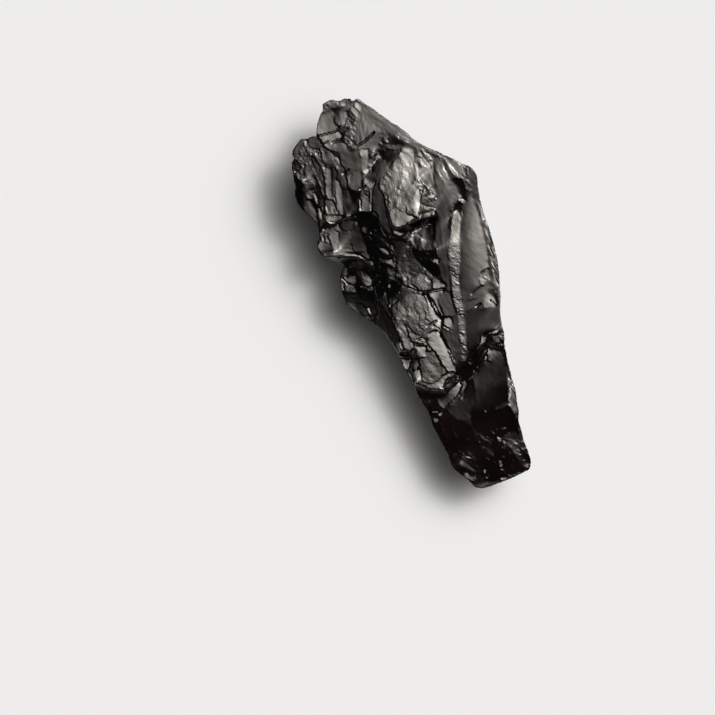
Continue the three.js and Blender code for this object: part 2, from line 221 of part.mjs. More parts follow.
  [[[403.2,317.1,44,2.9],[420,303.1,39,6.7]], [393,316,391,307,397,303,404,297,412,292.6,422,293.6,426,299,428,306,424,312,420,320,418,326,424,330,420,336,412,332,406,322,398,321]],
  [[[425.4,320.5,359,6.3],[421.2,318.9,35,12]], [418.6,322,421,314,425,311,426,318,428,322,424,326,420,326]],
  [[[428,304,35,12],[433,306,35,12]], [423.6,293.4,426.4,294.8,430.4,302,433.6,308,437,314.6,440.6,320,441.4,324,438.6,328.4,436,324,433,317,429.6,308.6,426.4,300]],
  [[[426,340,19,6.5],[443,350,19,8.3]], [426,334,435,330.4,438.4,337,442.4,345,447,354,451,363,454,371,448,373,443,366,438,356,433,350,428,345]],
  [[[441,345,35,12],[448,352,35,12]], [436,329.4,439.4,331.4,443.4,339.6,447.4,347.4,451,356,454,364,457.4,372.4,454,372.6,450.4,366,446.6,358,442.6,349,438.8,339.4]],
  [24, 5.7, [415,356,426,351,434,351,439,359,442,368,442,376,440,381,430,384.6,421,381,418,372]],
  [[[436.4,381,26,5],[439.9,384.8,38,7.6]], [423,384.6,431,383.6,438,380.6,443,375.4,448,372.6,452,374.6,447,378.6,444,383,441,388,436,389.4,428,388.8]],
  [[[400,328,10,5],[410,345,25,8.7]], [395.6,322.6,399,320,405,321,407,330,410,339,414.6,346,413.6,350.4,405,351.6,401.4,343,398.6,333]],
  [35, 12, [402.6,333.6,404.6,333.6,404.6,340,403,342.4,402,338]],
  [[[418.8,353.9,26,7.9],[423.4,349.4,32,9.8]], [416,346.4,421,345.6,426.4,346,425.4,357,418.4,358.4,415.2,352.4]],
  [[[403.7,357.6,253,12.6],[412.1,351.8,333,4.1]], [399,352.6,404,351.6,410,350.6,415.4,349,415.2,355,413.6,358.4,407,358.6,400.4,357.6,398,355]],
  [35, 12, [403.6,352.4,406,352,406.4,354.4,404.4,355]],
  [308, 4.6, [415,342,418,343.6,421,343,425,344.4,424,346,419,346.4,416,346]],
  [261, 8.3, [424.4,339,427,337.4,429.4,336.6,428.4,340,426.4,342.6,425.2,341.4]],
  [[[405.6,360.6,28,4],[407.4,367.6,35,12]], [397,357,407,358.8,413,358.8,410.4,365,409,371,407,373,400,366]],
  [[[413.1,363.3,207,3.7],[416.8,365.9,31,5.9]], [410.4,363,414,359.4,418.4,358.6,420,366,414,370.6,410.8,369]],
  [[[415.9,377.4,53,6.3],[419.7,374.5,35,12]], [412,372,416,370,420.6,369,422,377,421,384.6,416,381.4,413.4,376]],
  [20, 31, [426.6,293,429,294,432.4,299,435.4,306,439,313,443,318,443.6,321.6,441,320.6,437.2,314.4,433.8,307.8,430.6,301.6]],
  [25, 8.2, [432,295,436,292,442,289.8,444,291,438.4,295,437.6,299,439,306,442.4,313,443.6,317,441.4,317,438,310.6,434.8,303]],
  [[[441,300,349,2.4],[451,310,1,2.4]], [438,298,441,294,444.4,290.6,450,291.4,452.4,300,455,310,454,316,448,317.4,444,316,441,308]],
  [[[450.3,323.1,25,7.9],[445.6,321.6,36,6.8]], [443.6,320,446,317.8,449.4,316.8,452.4,320,452.4,325,450,329.2,446,326.4,443,324]],
  [35, 12, [442,325.6,446,327,450,329.4,454,331.4,452,332,447,330,442.6,327.6]],
  [20, 33, [439.6,329.6,443.8,337.6,447.8,345.6,451.8,355,455,363,458.4,371,457.2,372,453.8,364.4,450.6,356.4,447,348,443,340,439.2,332]],
  [[[470,362,235,40],[476,372,235,4.1]], [457,373,462,366,467,361.6,471,355.6,476,348,481,342,486,338,492,335.6,500,334.6,506,336,506,347,500,350,493,348.4,489,353,486,359,481,367,475,373,468,379,462,381.6,457,380]],
  [167, 13.4, [461,372,467,366,474,361,480,352,486,345,490,347,486,357,480,366,474,372,467,377.6,461,380]],
  [19, 9.1, [480.6,337.4,485,335.4,488,336.4,486.4,341,482,346,477,352,476.4,350,480,344]],
  [60, 9.7, [484,333.6,490,332,496,329.6,500,331,498,334,490,334.8,485,336]],
  [357, 17.9, [492.4,341,497,336.6,500,338,501.6,343,499,346.4,497,343.6,493,343.4]],
  [298, 10.6, [478.6,353,483,347,486,347,485,354,481.4,361,478.4,364,477.6,359]],
  [219, 1, [500,344,506,342,508,352,505,357,502,350]],
  [[[482,372,86,2.5],[506,392,182,9.8]], [472,378.6,480,370,487,361,493,357.6,500,352,505.6,356,507.6,365,508.6,380,508.8,395,508.6,402.6,500,406.4,492,409.6,484,410,477.4,406,474.8,395,472.4,385]],
  [35, 12, [467.6,379.4,472.6,375.6,479.6,368.6,485.6,359.6,488.6,352.6,489.6,353.8,487,360.4,481,369.6,473.4,377.6,468.4,381]],
  [67, 5.9, [488.6,349.4,494,348.8,500.4,350.4,504.6,354,500,353.6,495,358,490.4,361.6,486.6,360,488,354]],
  [[[458,412,154,1.8],[473,395,170,4.7]], [464,387,472.6,379.6,474.4,390,476.4,400,472.4,408,471.4,419,466,420,460,421,455,418,449,414,446.6,409.6,455,405.6,463,400.6,466.6,395]],
  [[[442,402,35,12],[456,390,35,12]], [437,401.4,440,397.4,444.4,396,450,390,456,385,459.4,380.6,462.4,384,460.4,390,456,397,451,400.6,446.4,405.4,443,409,439.6,405.4]],
  [[[461.8,396.4,137,4.8],[457.8,393,50,4.7]], [460,382,466.6,380,467.6,386,464,392,467,396,462,401,455,405.4,449,406,451.4,401,456.4,397.4,460.8,390.4,462.6,384.6]],
  [60, 5.6, [459.6,398.6,462,395.8,464.6,396.6,463,399.6,460.6,400]],
  [[[432,388,270,48],[430,400,215,3.9]], [411,382,415.4,380.6,420,385.8,428,389.2,436,389.8,441,388.4,446.6,389.6,446,392.6,441.4,396.6,437,401.4,439.6,405.8,443.4,409.4,444.6,411,440,413.4,432,410,426,408,419,402,413,392]],
  [[[454.5,382.8,306,15.5],[446,383.9,350,15.4]], [444.6,382,448,378.6,452.4,377.2,457,378.4,459,381,453,386.4,447.4,390,442,388.4]],
  [35, 12, [430.4,412.4,434,410.8,438.6,410.4,438.4,412.6,433,413.6]],
  [35, 12, [437.4,415,440.6,412.6,444,411.6,442,415,439.4,417]],
  [26, 5.1, [432.6,420.4,435.6,417,439.4,419.4,437.6,423.6,434.6,424.4]],
  [[[480,418,237,11.7],[500,428,260,13.1]], [471.4,413,480,411,486,410.4,494,409.6,500,406.8,508.6,403.4,512.4,410,517,418,519,424,516,430,509,433,500,437,492,438,484,437.6,480,433.4,474,430,470.6,420]],
  [130, 2.2, [495,408,500,405.6,507,402.4,509.4,404.4,505,406.2,499.4,408.4,496,410]],
  [195, 11.5, [479,433,484,436.6,492,437.4,500,437.4,506,439.4,512.6,439.6,509,444.4,505.6,449.4,500,447.4,494,444.6,488,442.6,483,440.6,478,437.4]],
  [46, 2.6, [504,442,508,441,512.6,439.8,511,442,507,443.4,505.6,448.6,503,449,504.6,445]],
  [294, 1.2, [478.6,433.4,481.4,433,483.6,436.6,488,439.6,494.6,437.4,494,440,488.4,442,483,440,480.4,437]],
  [342, 2, [504,436.4,507,433,510.4,430.6,511.4,432.6,507.4,436,505,437]],
  [[[445,430,231,11.5],[462,436,236,11.7]], [428,420,434,424.4,440,420.4,446,417.6,455,419.4,463,423,470,425,473.6,432,477,440,472,446,462,449,453,452,446,452,438,441]],
  [260, 4.7, [440,421,443.6,424,446.4,431,448.4,437,446,438.6,443,432,440.6,427]],
  [258, 2.8, [452,425,455,427,457,434,459,438,456,438,453,431]],
  [[[484,448,233,7.4],[508,466,274,14.6]], [476,442.4,483,441,490,443.4,496,446.4,501,448.6,506,450,510,447.4,514,452.4,519,460.6,522,467,521.6,472,512,476.4,502,479.6,492,482,486,481,481,474,478.6,464,476,452]],
  [290, 1.8, [486,448,491,449,495,453,494,457,490,455,487,452]],
  [246, 12.1, [484,456,490,458,495,462,497,470,490,474,485,468,483,461]],
  [[[456,462,159,10.3],[474,458,277,6.2]], [447,453,453,452,462,450.4,471,452,476.6,458,479,466,480,473,477,477,469,473,460,468.6,451,464]],
  [340, 5.9, [459.4,463.6,462,460.6,466,462.4,472,467,477.6,471.6,475,473.6,469,470.6,463,467]],
  [[[458,470,240,30],[466,476,35,12]], [448,463,453,465,460,469,469,473.6,472,477,471,484,476,490,464,480,452,472]],
  [24, 4.3, [470.4,479,473.6,476.8,474.4,473.8,476.4,474.4,476.8,479,474,482.6,471.4,482]],
  [31, 9, [483.4,471.4,484.6,468.8,487,469.8,486,474,484,474.6]],
  [35, 12, [499.6,461,501.6,460.4,503,464.4,501.6,468,499.6,467.4]],
  [304, 10.9, [503.4,470.4,506,471.6,507.4,473,505,473]],
  [[[516,452,290,5.6],[527,456,306,11.2]], [506,444,511,441,516,439.6,521,437.6,526,442,532,452,534,462,532,470,526,471,522.6,467,519.4,460,514.4,452,510.4,447]],
  [321, 6.3, [509.6,443.8,512,445,516.6,451.6,520,457,523.6,464.4,526.6,470,524,469.6,521,463.4,516.6,455.8,512.6,449.4]],
  [348, 8.5, [521.4,462,525,461,528.6,463.6,529.6,468.4,525,470.4]],
  [295, 12.6, [521.6,455,525,453.4,530.4,457,531.4,463,527,461,523,459]],
  [[[485,484,124,5.5],[520,474,137,10]], [472.6,489,475.6,486,479.6,483.4,485,481,488.6,482.8,494,482,501.6,479.2,512,475.2,522,471.8,532,468.4,532,472,512,482,490,491,478,492]],
  [35, 12, [500,479.6,512,475,522,471.6,529,469.4,529.4,470.6,522.6,473,512.6,476.8,502,481]],
  [242, 10.1, [511.6,408,519,416,522,426,526,440,522,441,517,438,516,430,518,424]],
  [312, 5.5, [518.6,427.4,520.8,428,522,434,523,440,521,440,519.4,433]],
  [328, 8.1, [506.4,362,508.4,371,509,381,509.8,392,510.6,400,513,408,510,405,508.6,398,507.8,384,506.6,372]],
  [35, 12, [509,378,512,377,518,388,521,410,521,421,518,420,514.6,413,511.4,404,510.2,395,509.2,386]],
  [228, 11.4, [505,352,509,351,511,358,514,370,515,380,510,380,507.8,368,506,360]],
];

// Heights of the large blocks of the upper side against each other: x, y, height.
const LEVELS = [
  330,104,-3, 330,125,-1, 350,125,1, 370,130,0, 385,112,-6, 372,106,-9, 400,127,-11, 415,142,-8,
  432,149,-13, 450,158,-12, 470,168,-17, 472,182,-12, 318,120,-8, 318,137,-10, 395,148,-10, 400,175,5,
  410,200,6, 425,185,4, 425,212,3, 382,205,-3, 350,165,-2, 352,205,-5, 365,205,-3, 365,180,-3,
  330,185,-6, 310,165,-12, 296,165,-20, 312,200,-17, 299,203,-28, 295,190,-26, 302,142,-16, 330,220,-7,
  345,240,-5, 360,245,-7, 322,248,-14, 350,262,-24, 350,285,-22, 341,285,-28, 350,305,-32, 365,305,-27,
  385,325,-29, 399,352,-26, 366,222,-16, 375,240,-17, 385,270,-15, 420,236,-8, 424,262,-20, 400,258,-13,
  392,290,-16, 425,284,-6, 405,310,-9, 430,310,-4, 405,340,-11, 430,360,-4, 448,345,-11, 447,305,-7,
  440,230,-7, 442,180,-7, 455,200,-10, 455,250,-4, 460,330,-5, 475,240,-3, 485,250,-7, 480,310,-9,
  480,200,-11, 495,255,-14, 499,290,-17, 485,350,-19, 501,330,-21, 470,370,-18, 490,380,-15, 504,390,-18,
  515,400,-25, 518,412,-27, 465,405,-14, 448,398,-9, 430,400,-23, 416,388,-27, 490,420,-17, 455,435,-23,
  436,428,-29, 490,440,-16, 495,462,-21, 465,465,-26, 452,462,-32, 470,480,-33, 500,481,-33, 528,466,-29,
  524,448,-22,
];

// The stone under its rim is three blocks grown into one. Each is bounded below by planes:
// [x, y, way the plane looks outwards, slope from level, drop below the rim at x, y];
// with no drop, the plane starts on the resting face at x, y.
const HEAD = [
  [293, 172, 182, 72, 4], [296.5, 203, 222, 57, 6], [300, 142, 140, 64, 5], [318, 122, 168, 72, 5], [335, 101, 92, 76, 4],
  [372, 108.5, 54, 66, 5], [415, 140.6, 50, 57, 6], [318, 247, 196, 64, 5], [318, 232, 175, 78, 8], [330, 259.5, 242, 60, 4],
  [352, 168, 150, 43], [398, 286, 290, 50], [346, 226, 205, 50],
];
const BODY = [
  [372, 108.5, 54, 66, 5], [415, 140.6, 50, 57, 6], [455, 159.8, 66, 72, 5], [477, 180, 12, 78, 6], [485, 217, 22, 66, 5],
  [499, 268, 9, 73, 5], [501, 320, 356, 61, 6], [508, 362, 14, 68, 5], [518, 408, 6, 75, 5], [527, 448, 27, 60, 4],
  [506, 481, 288, 66, 4], [470, 483, 228, 70, 4], [446, 450, 206, 62, 6], [428, 411, 214, 73, 5], [409, 376, 214, 57, 6],
  [399, 357, 200, 66, 5], [478, 392, 298, 15], [394, 296, 204, 58], [374, 180, 168, 52], [452, 382, 258, 24], [460, 236, 18, 47],
];
const KNOB = [
  [340, 283, 180, 73, 4], [347, 304, 222, 59, 5], [367, 319, 238, 66, 5], [384, 332, 218, 56, 6], [342, 268, 140, 70, 6],
  [372, 266, 112, 56], [430, 322, 322, 42], [368, 288, 208, 38],
];

// Shell-shaped (conchoidal) scars: [x, y of the middle, radius of the shell, depth].
const SCARS = [
  [306, 196, 46, 6], [303, 168, 34, 4], [312, 144, 40, 5], [350, 112, 44, 6], [396, 132, 50, 5], [440, 160, 40, 5],
  [470, 190, 44, 5], [478, 236, 56, 6], [488, 286, 60, 6], [490, 334, 44, 5], [504, 386, 52, 5], [512, 440, 40, 4],
  [496, 470, 44, 5], [470, 470, 34, 4], [456, 436, 54, 5], [424, 390, 46, 6], [396, 342, 52, 6], [360, 304, 34, 4],
  [350, 280, 30, 4], [326, 244, 36, 5], [360, 150, 60, 5], [500, 428, 70, 5], [452, 210, 40, 3], [380, 300, 40, 4],
];

const rad = (d) => (d * Math.PI) / 180;
const outline = [];
for (let i = 0; i < OUTLINE.length; i += 2) outline.push([OUTLINE[i], OUTLINE[i + 1]]);

function inside(flat, x, y) {
  let c = false;
  for (let i = 0, n = flat.length, j = n - 2; i < n; j = i, i += 2) {
    const x1 = flat[i], y1 = flat[i + 1], x2 = flat[j], y2 = flat[j + 1];
    if (y1 > y !== y2 > y && x < ((x2 - x1) * (y - y1)) / (y2 - y1) + x1) c = !c;
  }
  return c;
}

function toOutline(x, y) {
  let best = 1e9;
  for (let i = 0, n = outline.length, j = n - 1; i < n; j = i++) {
    const [x1, y1] = outline[j], [x2, y2] = outline[i];
    const l = (x2 - x1) ** 2 + (y2 - y1) ** 2 + 1e-12;
    const t = Math.min(1, Math.max(0, ((x - x1) * (x2 - x1) + (y - y1) * (y2 - y1)) / l));
    best = Math.min(best, Math.hypot(x - x1 - t * (x2 - x1), y - y1 - t * (y2 - y1)));
  }
  return best;
}

// ---- upper side: slopes painted face by face on a grid, then the surface that fits them best
const X0 = 287, Y0 = 94, NX = Math.round(249 / GRID) + 1, NY = Math.round(400 / GRID) + 1;

function slope(way, tilt) {
  const a = rad(way), s = Math.tan(rad(tilt));
  return [-s * Math.cos(a), s * Math.sin(a)];
}

function paint() {
  const gx = new Float64Array(NX * NY), gy = new Float64Array(NX * NY), id = new Int32Array(NX * NY).fill(-1);
  FACES.forEach((face, k) => {
    const pts = face[face.length - 1];
    let lx = 1e9, hx = -1e9, ly = 1e9, hy = -1e9;
    for (let i = 0; i < pts.length; i += 2) {
      lx = Math.min(lx, pts[i]); hx = Math.max(hx, pts[i]); ly = Math.min(ly, pts[i + 1]); hy = Math.max(hy, pts[i + 1]);
    }
    const turn = Array.isArray(face[0]) ? face[0] : null;
    const [sa, sb] = turn ? turn.map((s) => slope(s[2], s[3])) : [slope(face[0], face[1]), null];
    for (let i = Math.max(0, Math.floor((ly - Y0) / GRID)); i <= Math.min(NY - 1, Math.ceil((hy - Y0) / GRID)); i++)
      for (let j = Math.max(0, Math.floor((lx - X0) / GRID)); j <= Math.min(NX - 1, Math.ceil((hx - X0) / GRID)); j++) {
        const x = X0 + j * GRID, y = Y0 + i * GRID, q = i * NX + j;
        if (!inside(pts, x, y)) continue;
        let [px, py] = sa;
        if (turn) {
          const [[xa, ya], [xb, yb]] = turn;
          const l = (xb - xa) ** 2 + (yb - ya) ** 2;
          const t = Math.min(1.25, Math.max(-0.25, ((x - xa) * (xb - xa) + (y - ya) * (yb - ya)) / l));
          px += (sb[0] - px) * t; py += (sb[1] - py) * t;
        }
        gx[q] = px; gy[q] = py; id[q] = k;
      }
  });
  return { gx, gy, id };
}

function level(x, y) {
  let n = 0, d = 0;
  for (let i = 0; i < LEVELS.length; i += 3) {
    const r = (x - LEVELS[i]) ** 2 + (y - LEVELS[i + 1]) ** 2;
    const w = Math.exp(-r / 162) + 1e-5 * Math.exp(-r / 2592);
    n += w * LEVELS[i + 2]; d += w;
  }
  return n / (d + 1e-30);
}

const HOLD = 1.2e-4; // how stiffly the blocks are held at their heights, against 1 for a face's lie
const LOOK = slope(35, 12); // a face keeps how far it lies from this, and may turn about it to meet its neighbours
const TURNS = 8, SETTLE = 4; // rounds of turning, then of letting faces part
const ACROSS = 0.12, PART = 0.14; // how stiffly faces are held together, and the step at which they begin to part

function solveFront() {
  const { gx, gy, id } = paint();
  const n = NX * NY, z0 = new Float64Array(n), wx = new Float64Array(n), wy = new Float64Array(n);
  for (let i = 0; i < NY; i++) for (let j = 0; j < NX; j++) z0[i * NX + j] = level(X0 + j * GRID, Y0 + i * GRID);
  const z = z0.slice(), b = new Float64Array(n), dg = new Float64Array(n);
  const r = new Float64Array(n), y = new Float64Array(n), p = new Float64Array(n), ap = new Float64Array(n);
  const apply = (v, o) => {
    for (let q = 0; q < n; q++) o[q] = HOLD * v[q];
    for (let i = 0; i < NY; i++) for (let j = 0; j < NX; j++) {
      const q = i * NX + j;
      if (j + 1 < NX) { const d = wx[q] * (v[q + 1] - v[q]); o[q + 1] += d; o[q] -= d; }
      if (i + 1 < NY) { const d = wy[q] * (v[q + NX] - v[q]); o[q + NX] += d; o[q] -= d; }
    }
  };
  for (let round = 0; round < TURNS + SETTLE; round++) {
    if (round > 0 && round <= TURNS) {
      const s = blur(z, 0.7 / GRID);
      for (let i = 1; i + 1 < NY; i++) for (let j = 1; j + 1 < NX; j++) {
        const q = i * NX + j;
        const vx = gx[q] - LOOK[0], vy = gy[q] - LOOK[1], rv = Math.hypot(vx, vy) + 1e-9;
        const ax = (s[q + 1] - s[q - 1]) / (2 * GRID) - LOOK[0], ay = (s[q + NX] - s[q - NX]) / (2 * GRID) - LOOK[1];
        const ra = Math.hypot(ax, ay) + 1e-9, ux = vx / rv + (3 * ax) / ra, uy = vy / rv + (3 * ay) / ra, ru = Math.hypot(ux, uy);
        if (rv < 0.45 && ru > 0.3) { gx[q] = LOOK[0] + (rv * ux) / ru; gy[q] = LOOK[1] + (rv * uy) / ru; }
      }
    }
    const held = (q, q2, l) => (id[q] === id[q2] || round < TURNS ? 1 : ACROSS * Math.min(1, PART / (Math.abs(z[q2] - z[q] - l) + 1e-9)));
    for (let q = 0; q < n; q++) { b[q] = HOLD * z0[q]; dg[q] = HOLD; }
    for (let i = 0; i < NY; i++) for (let j = 0; j < NX; j++) {
      const q = i * NX + j;
      for (const [go, q2, g, w] of [[j + 1 < NX, q + 1, gx, wx], [i + 1 < NY, q + NX, gy, wy]]) {
        if (!go) continue;
        const l = 0.5 * (g[q] + g[q2]) * GRID, h = (w[q] = held(q, q2, l));
        b[q2] += h * l; b[q] -= h * l; dg[q] += h; dg[q2] += h;
      }
    }
    apply(z, ap);
    let ry = 0;
    for (let q = 0; q < n; q++) { r[q] = b[q] - ap[q]; y[q] = r[q] / dg[q]; p[q] = y[q]; ry += r[q] * y[q]; }
    for (let k = 0; k < (round ? 160 : 900) && ry > 1e-9; k++) {
      apply(p, ap);
      let pap = 0;
      for (let q = 0; q < n; q++) pap += p[q] * ap[q];
      const al = ry / pap;
      let next = 0;
      for (let q = 0; q < n; q++) { z[q] += al * p[q]; r[q] -= al * ap[q]; y[q] = r[q] / dg[q]; next += r[q] * y[q]; }
      for (let q = 0; q < n; q++) p[q] = y[q] + (next / ry) * p[q];
      ry = next;
    }
  }
  return z;
}

// Thin horns don't survive a break: what stands out of its surroundings is cut down.
function brokenTips(z, reach = 4, keep = 0.7, more = 0.5) {
  const slide = (f, di, dj, pick) => {
    const o = new Float64Array(f.length);
    for (let i = 0; i < NY; i++) for (let j = 0; j < NX; j++) {
      let v = f[i * NX + j];
      for (let k = -reach; k <= reach; k++) {
        const i2 = Math.min(NY - 1, Math.max(0, i + di * k)), j2 = Math.min(NX - 1, Math.max(0, j + dj * k));
        v = pick(v, f[i2 * NX + j2]);
      }
      o[i * NX + j] = v;
    }
    return o;
  };
  const low = slide(slide(z, 1, 0, Math.min), 0, 1, Math.min), open = slide(slide(low, 1, 0, Math.max), 0, 1, Math.max);
  return z.map((v, q) => (v - open[q] > keep ? open[q] + keep + more * (1 - Math.exp(-(v - open[q] - keep) / more)) : v));
}

function blur(z, s) {
  const r = Math.ceil(3 * s), k = [], t = new Float64Array(z.length), o = new Float64Array(z.length);
  let sum = 0;
  for (let i = -r; i <= r; i++) { k.push(Math.exp(-0.5 * (i / s) ** 2)); sum += k[k.length - 1]; }
  const lim = (v, m) => Math.min(m - 1, Math.max(0, v));
  for (let i = 0; i < NY; i++) for (let j = 0; j < NX; j++) {
    let a = 0;
    for (let d = -r; d <= r; d++) a += k[d + r] * z[i * NX + lim(j + d, NX)];
    t[i * NX + j] = a / sum;
  }
  for (let i = 0; i < NY; i++) for (let j = 0; j < NX; j++) {
    let a = 0;
    for (let d = -r; d <= r; d++) a += k[d + r] * t[lim(i + d, NY) * NX + j];
    o[i * NX + j] = a / sum;
  }
  return o;
}

function at(field, x, y) {
  const fj = Math.min(NX - 1.001, Math.max(0, (x - X0) / GRID)), fi = Math.min(NY - 1.001, Math.max(0, (y - Y0) / GRID));
  const j = Math.floor(fj), i = Math.floor(fi), a = fj - j, b = fi - i, q = i * NX + j;
  return (field[q] * (1 - a) + field[q + 1] * a) * (1 - b) + (field[q + NX] * (1 - a) + field[q + NX + 1] * a) * b;
}

const frontField = blur(brokenTips(solveFront()), 1.1);
{
  let hi = -1e9;
  for (let i = 0; i < NY; i++) for (let j = 0; j < NX; j++)
    if (inside(OUTLINE, X0 + j * GRID, Y0 + i * GRID)) hi = Math.max(hi, frontField[i * NX + j]);
  for (let q = 0; q < frontField.length; q++) frontField[q] += TOP / UNIT - hi;
}
const rimField = blur(frontField, 4);
// How far in from the outline each node lies, evened out: the sides don't repeat every notch of the rim below it.
const inField = (() => {
  const d = new Float64Array(NX * NY);
  for (let i = 0; i < NY; i++) for (let j = 0; j < NX; j++) {
    const x = X0 + j * GRID, y = Y0 + i * GRID;
    d[i * NX + j] = inside(OUTLINE, x, y) ? toOutline(x, y) : -toOutline(x, y);
  }
  return blur(d, 3.5);
})();

// ---- underside: blocks bounded by planes, struck with scars, held between the steepest and flattest side
const block = (planes) =>
  planes.map(([x, y, way, s, drop]) => {
    const a = rad(way);
    return { x, y, cx: Math.cos(a), cy: -Math.sin(a), t: Math.tan(rad(s)), z: drop === undefined ? 0 : at(rimField, x, y) - drop };
  });
const blocks = [HEAD, BODY, KNOB].map(block);
function broken(x, y) {
  let z = 1e9;
  for (const b of blocks) {
    let h = 0;
    for (const c of b) h = Math.max(h, c.z + c.t * ((x - c.x) * c.cx + (y - c.y) * c.cy));
    z = Math.min(z, h);
  }
  return z;
}
const bowls = SCARS.map(([x, y, r, d]) => {
  const z = broken(x, y), gx = (broken(x + 2, y) - broken(x - 2, y)) / 4, gy = (broken(x, y + 2) - broken(x, y - 2)) / 4;
  const off = (r - d) / Math.hypot(gx, gy, 1);
  return { x: x + gx * off, y: y + gy * off, z: z - off, r };
});

function back(x, y) {
  let z = broken(x, y);
  for (const s of bowls) {
    const h = s.r * s.r - (x - s.x) ** 2 - (y - s.y) ** 2;
    if (h > 0) z = Math.max(z, s.z + Math.sqrt(h));
  }
  const rim = Math.min(at(rimField, x, y), at(frontField, x, y)) - RIM_GAP, near = toOutline(x, y);
  const t = Math.min(1, near / EVEN), d = near + (Math.max(0, at(inField, x, y)) - near) * t * t * (3 - 2 * t);
  return Math.max(0, Math.min(Math.max(z, rim - WALL_STEEPEST * d), rim - SIDE_DEPTH * (1 - Math.exp(-d / SIDE_TURN))));
}

// ---- Delaunay triangulation of points, clipped to the outline
function delaunay(pts) {
  const n = pts.length, p = [...pts, [-5000, -5000], [6000, -5000], [400, 9000]];
  const circ = (a, b, c) => {
    const [ax, ay] = p[a], [bx, by] = p[b], [cx, cy] = p[c];
    const d = 2 * (ax * (by - cy) + bx * (cy - ay) + cx * (ay - by));
    const x = ((ax * ax + ay * ay) * (by - cy) + (bx * bx + by * by) * (cy - ay) + (cx * cx + cy * cy) * (ay - by)) / d;
    const y = ((ax * ax + ay * ay) * (cx - bx) + (bx * bx + by * by) * (ax - cx) + (cx * cx + cy * cy) * (bx - ax)) / d;
    return { t: [a, b, c], x, y, r: (ax - x) ** 2 + (ay - y) ** 2 };
  };
  const order = [...Array(n).keys()].sort((i, j) => p[i][0] - p[j][0] || p[i][1] - p[j][1]);
  let open = [circ(n, n + 1, n + 2)];
  const done = [];
  for (const i of order) {
    const [x, y] = p[i], edges = new Map(), keep = [];
    for (const c of open) {
      const dx = x - c.x;
      if (dx > 0 && dx * dx > c.r) { done.push(c.t); continue; }
      if (dx * dx + (y - c.y) ** 2 > c.r * (1 + 1e-12)) { keep.push(c); continue; }
      for (const [a, b] of [[c.t[0], c.t[1]], [c.t[1], c.t[2]], [c.t[2], c.t[0]]]) {
        const k = a < b ? a * 1e6 + b : b * 1e6 + a;
        if (edges.has(k)) edges.set(k, null); else edges.set(k, [a, b]);
      }
    }
    open = keep;
    for (const e of edges.values()) if (e) open.push(circ(e[0], e[1], i));
  }
  for (const c of open) done.push(c.t);
  const out = [];
  for (const [a, b, c] of done) {
    if (a >= n || b >= n || c >= n) continue;
    if (!inside(OUTLINE_RING, (p[a][0] + p[b][0] + p[c][0]) / 3, (p[a][1] + p[b][1] + p[c][1]) / 3)) continue;
    const s = (p[b][0] - p[a][0]) * (p[c][1] - p[a][1]) - (p[b][1] - p[a][1]) * (p[c][0] - p[a][0]);
    out.push(s > 0 ? [a, b, c] : [a, c, b]);
  }
  return out;
}

// The rim: the outline stepped off at an even distance.
const ring = [];
{
  let carry = 0, total = 0;
  const seg = outline.map((a, i) => { const b = outline[(i + 1) % outline.length]; const l = Math.hypot(b[0] - a[0], b[1] - a[1]); total += l; return [a, b, l]; });
  const step = total / Math.round(total / RIM_STEP);
  for (const [a, b, l] of seg) {
    for (; carry < l - 1e-9; carry += step) ring.push([a[0] + ((b[0] - a[0]) * carry) / l, a[1] + ((b[1] - a[1]) * carry) / l]);
    carry -= l;
  }
}
const OUTLINE_RING = ring.flat();

function toRing(x, y) {
  let best = 1e9;
  for (let i = 0, n = ring.length, j = n - 1; i < n; j = i++) {
    const [x1, y1] = ring[j], [x2, y2] = ring[i];
    const l = (x2 - x1) ** 2 + (y2 - y1) ** 2 + 1e-12;
    const t = Math.min(1, Math.max(0, ((x - x1) * (x2 - x1) + (y - y1) * (y2 - y1)) / l));
    best = Math.min(best, Math.hypot(x - x1 - t * (x2 - x1), y - y1 - t * (y2 - y1)));
  }
  return best;
}

// An even triangular lattice inside the rim, between two distances from it.
function lattice(pts, step, near, far) {
  const dy = (step * Math.sqrt(3)) / 2;
  for (let i = 0, y = 96; y < 492; y += dy, i++)
    for (let x = 288 + (i % 2) * step * 0.5; x < 535; x += step) {
      const jx = x + 0.11 * Math.sin(x * 7.3 + y * 3.1), jy = y + 0.11 * Math.cos(x * 5.1 - y * 2.7);
      if (!inside(OUTLINE_RING, jx, jy)) continue;
      const d = toRing(jx, jy);
      if (d > near && d <= far) pts.push([jx, jy]);
    }
  return pts;
}

// ---- the closed stone: upper side, upright edge, underside
const verts = [], tris = [];
const put = (x, y, z) => verts.push([x, y, z]) - 1;
const NR = ring.length;
const fp = lattice(ring.map((p) => [...p]), FRONT_STEP, FRONT_STEP * 0.5, 1e9);
const bp = lattice(lattice(ring.map((p) => [...p]), SIDE_STEP, SIDE_STEP * 0.5, SIDE_WIDTH), BACK_STEP, SIDE_WIDTH + BACK_STEP * 0.35, 1e9);
fp.forEach(([x, y]) => put(x, y, at(frontField, x, y)));
const base = verts.length;
// The resting face is dead level: every point of the underside that comes down to it lies at height 0.
bp.forEach(([x, y], i) => put(x, y, i < NR ? Math.min(back(x, y), at(frontField, x, y) - RIM_GAP) : back(x, y)));
for (const [a, b, c] of delaunay(fp)) tris.push([a, c, b]);
for (const [a, b, c] of delaunay(bp)) tris.push([base + a, base + b, base + c]);
for (let i = 0; i < NR; i++) {
  const j = (i + 1) % NR;
  tris.push([i, j, base + i], [j, base + j, base + i]);
}

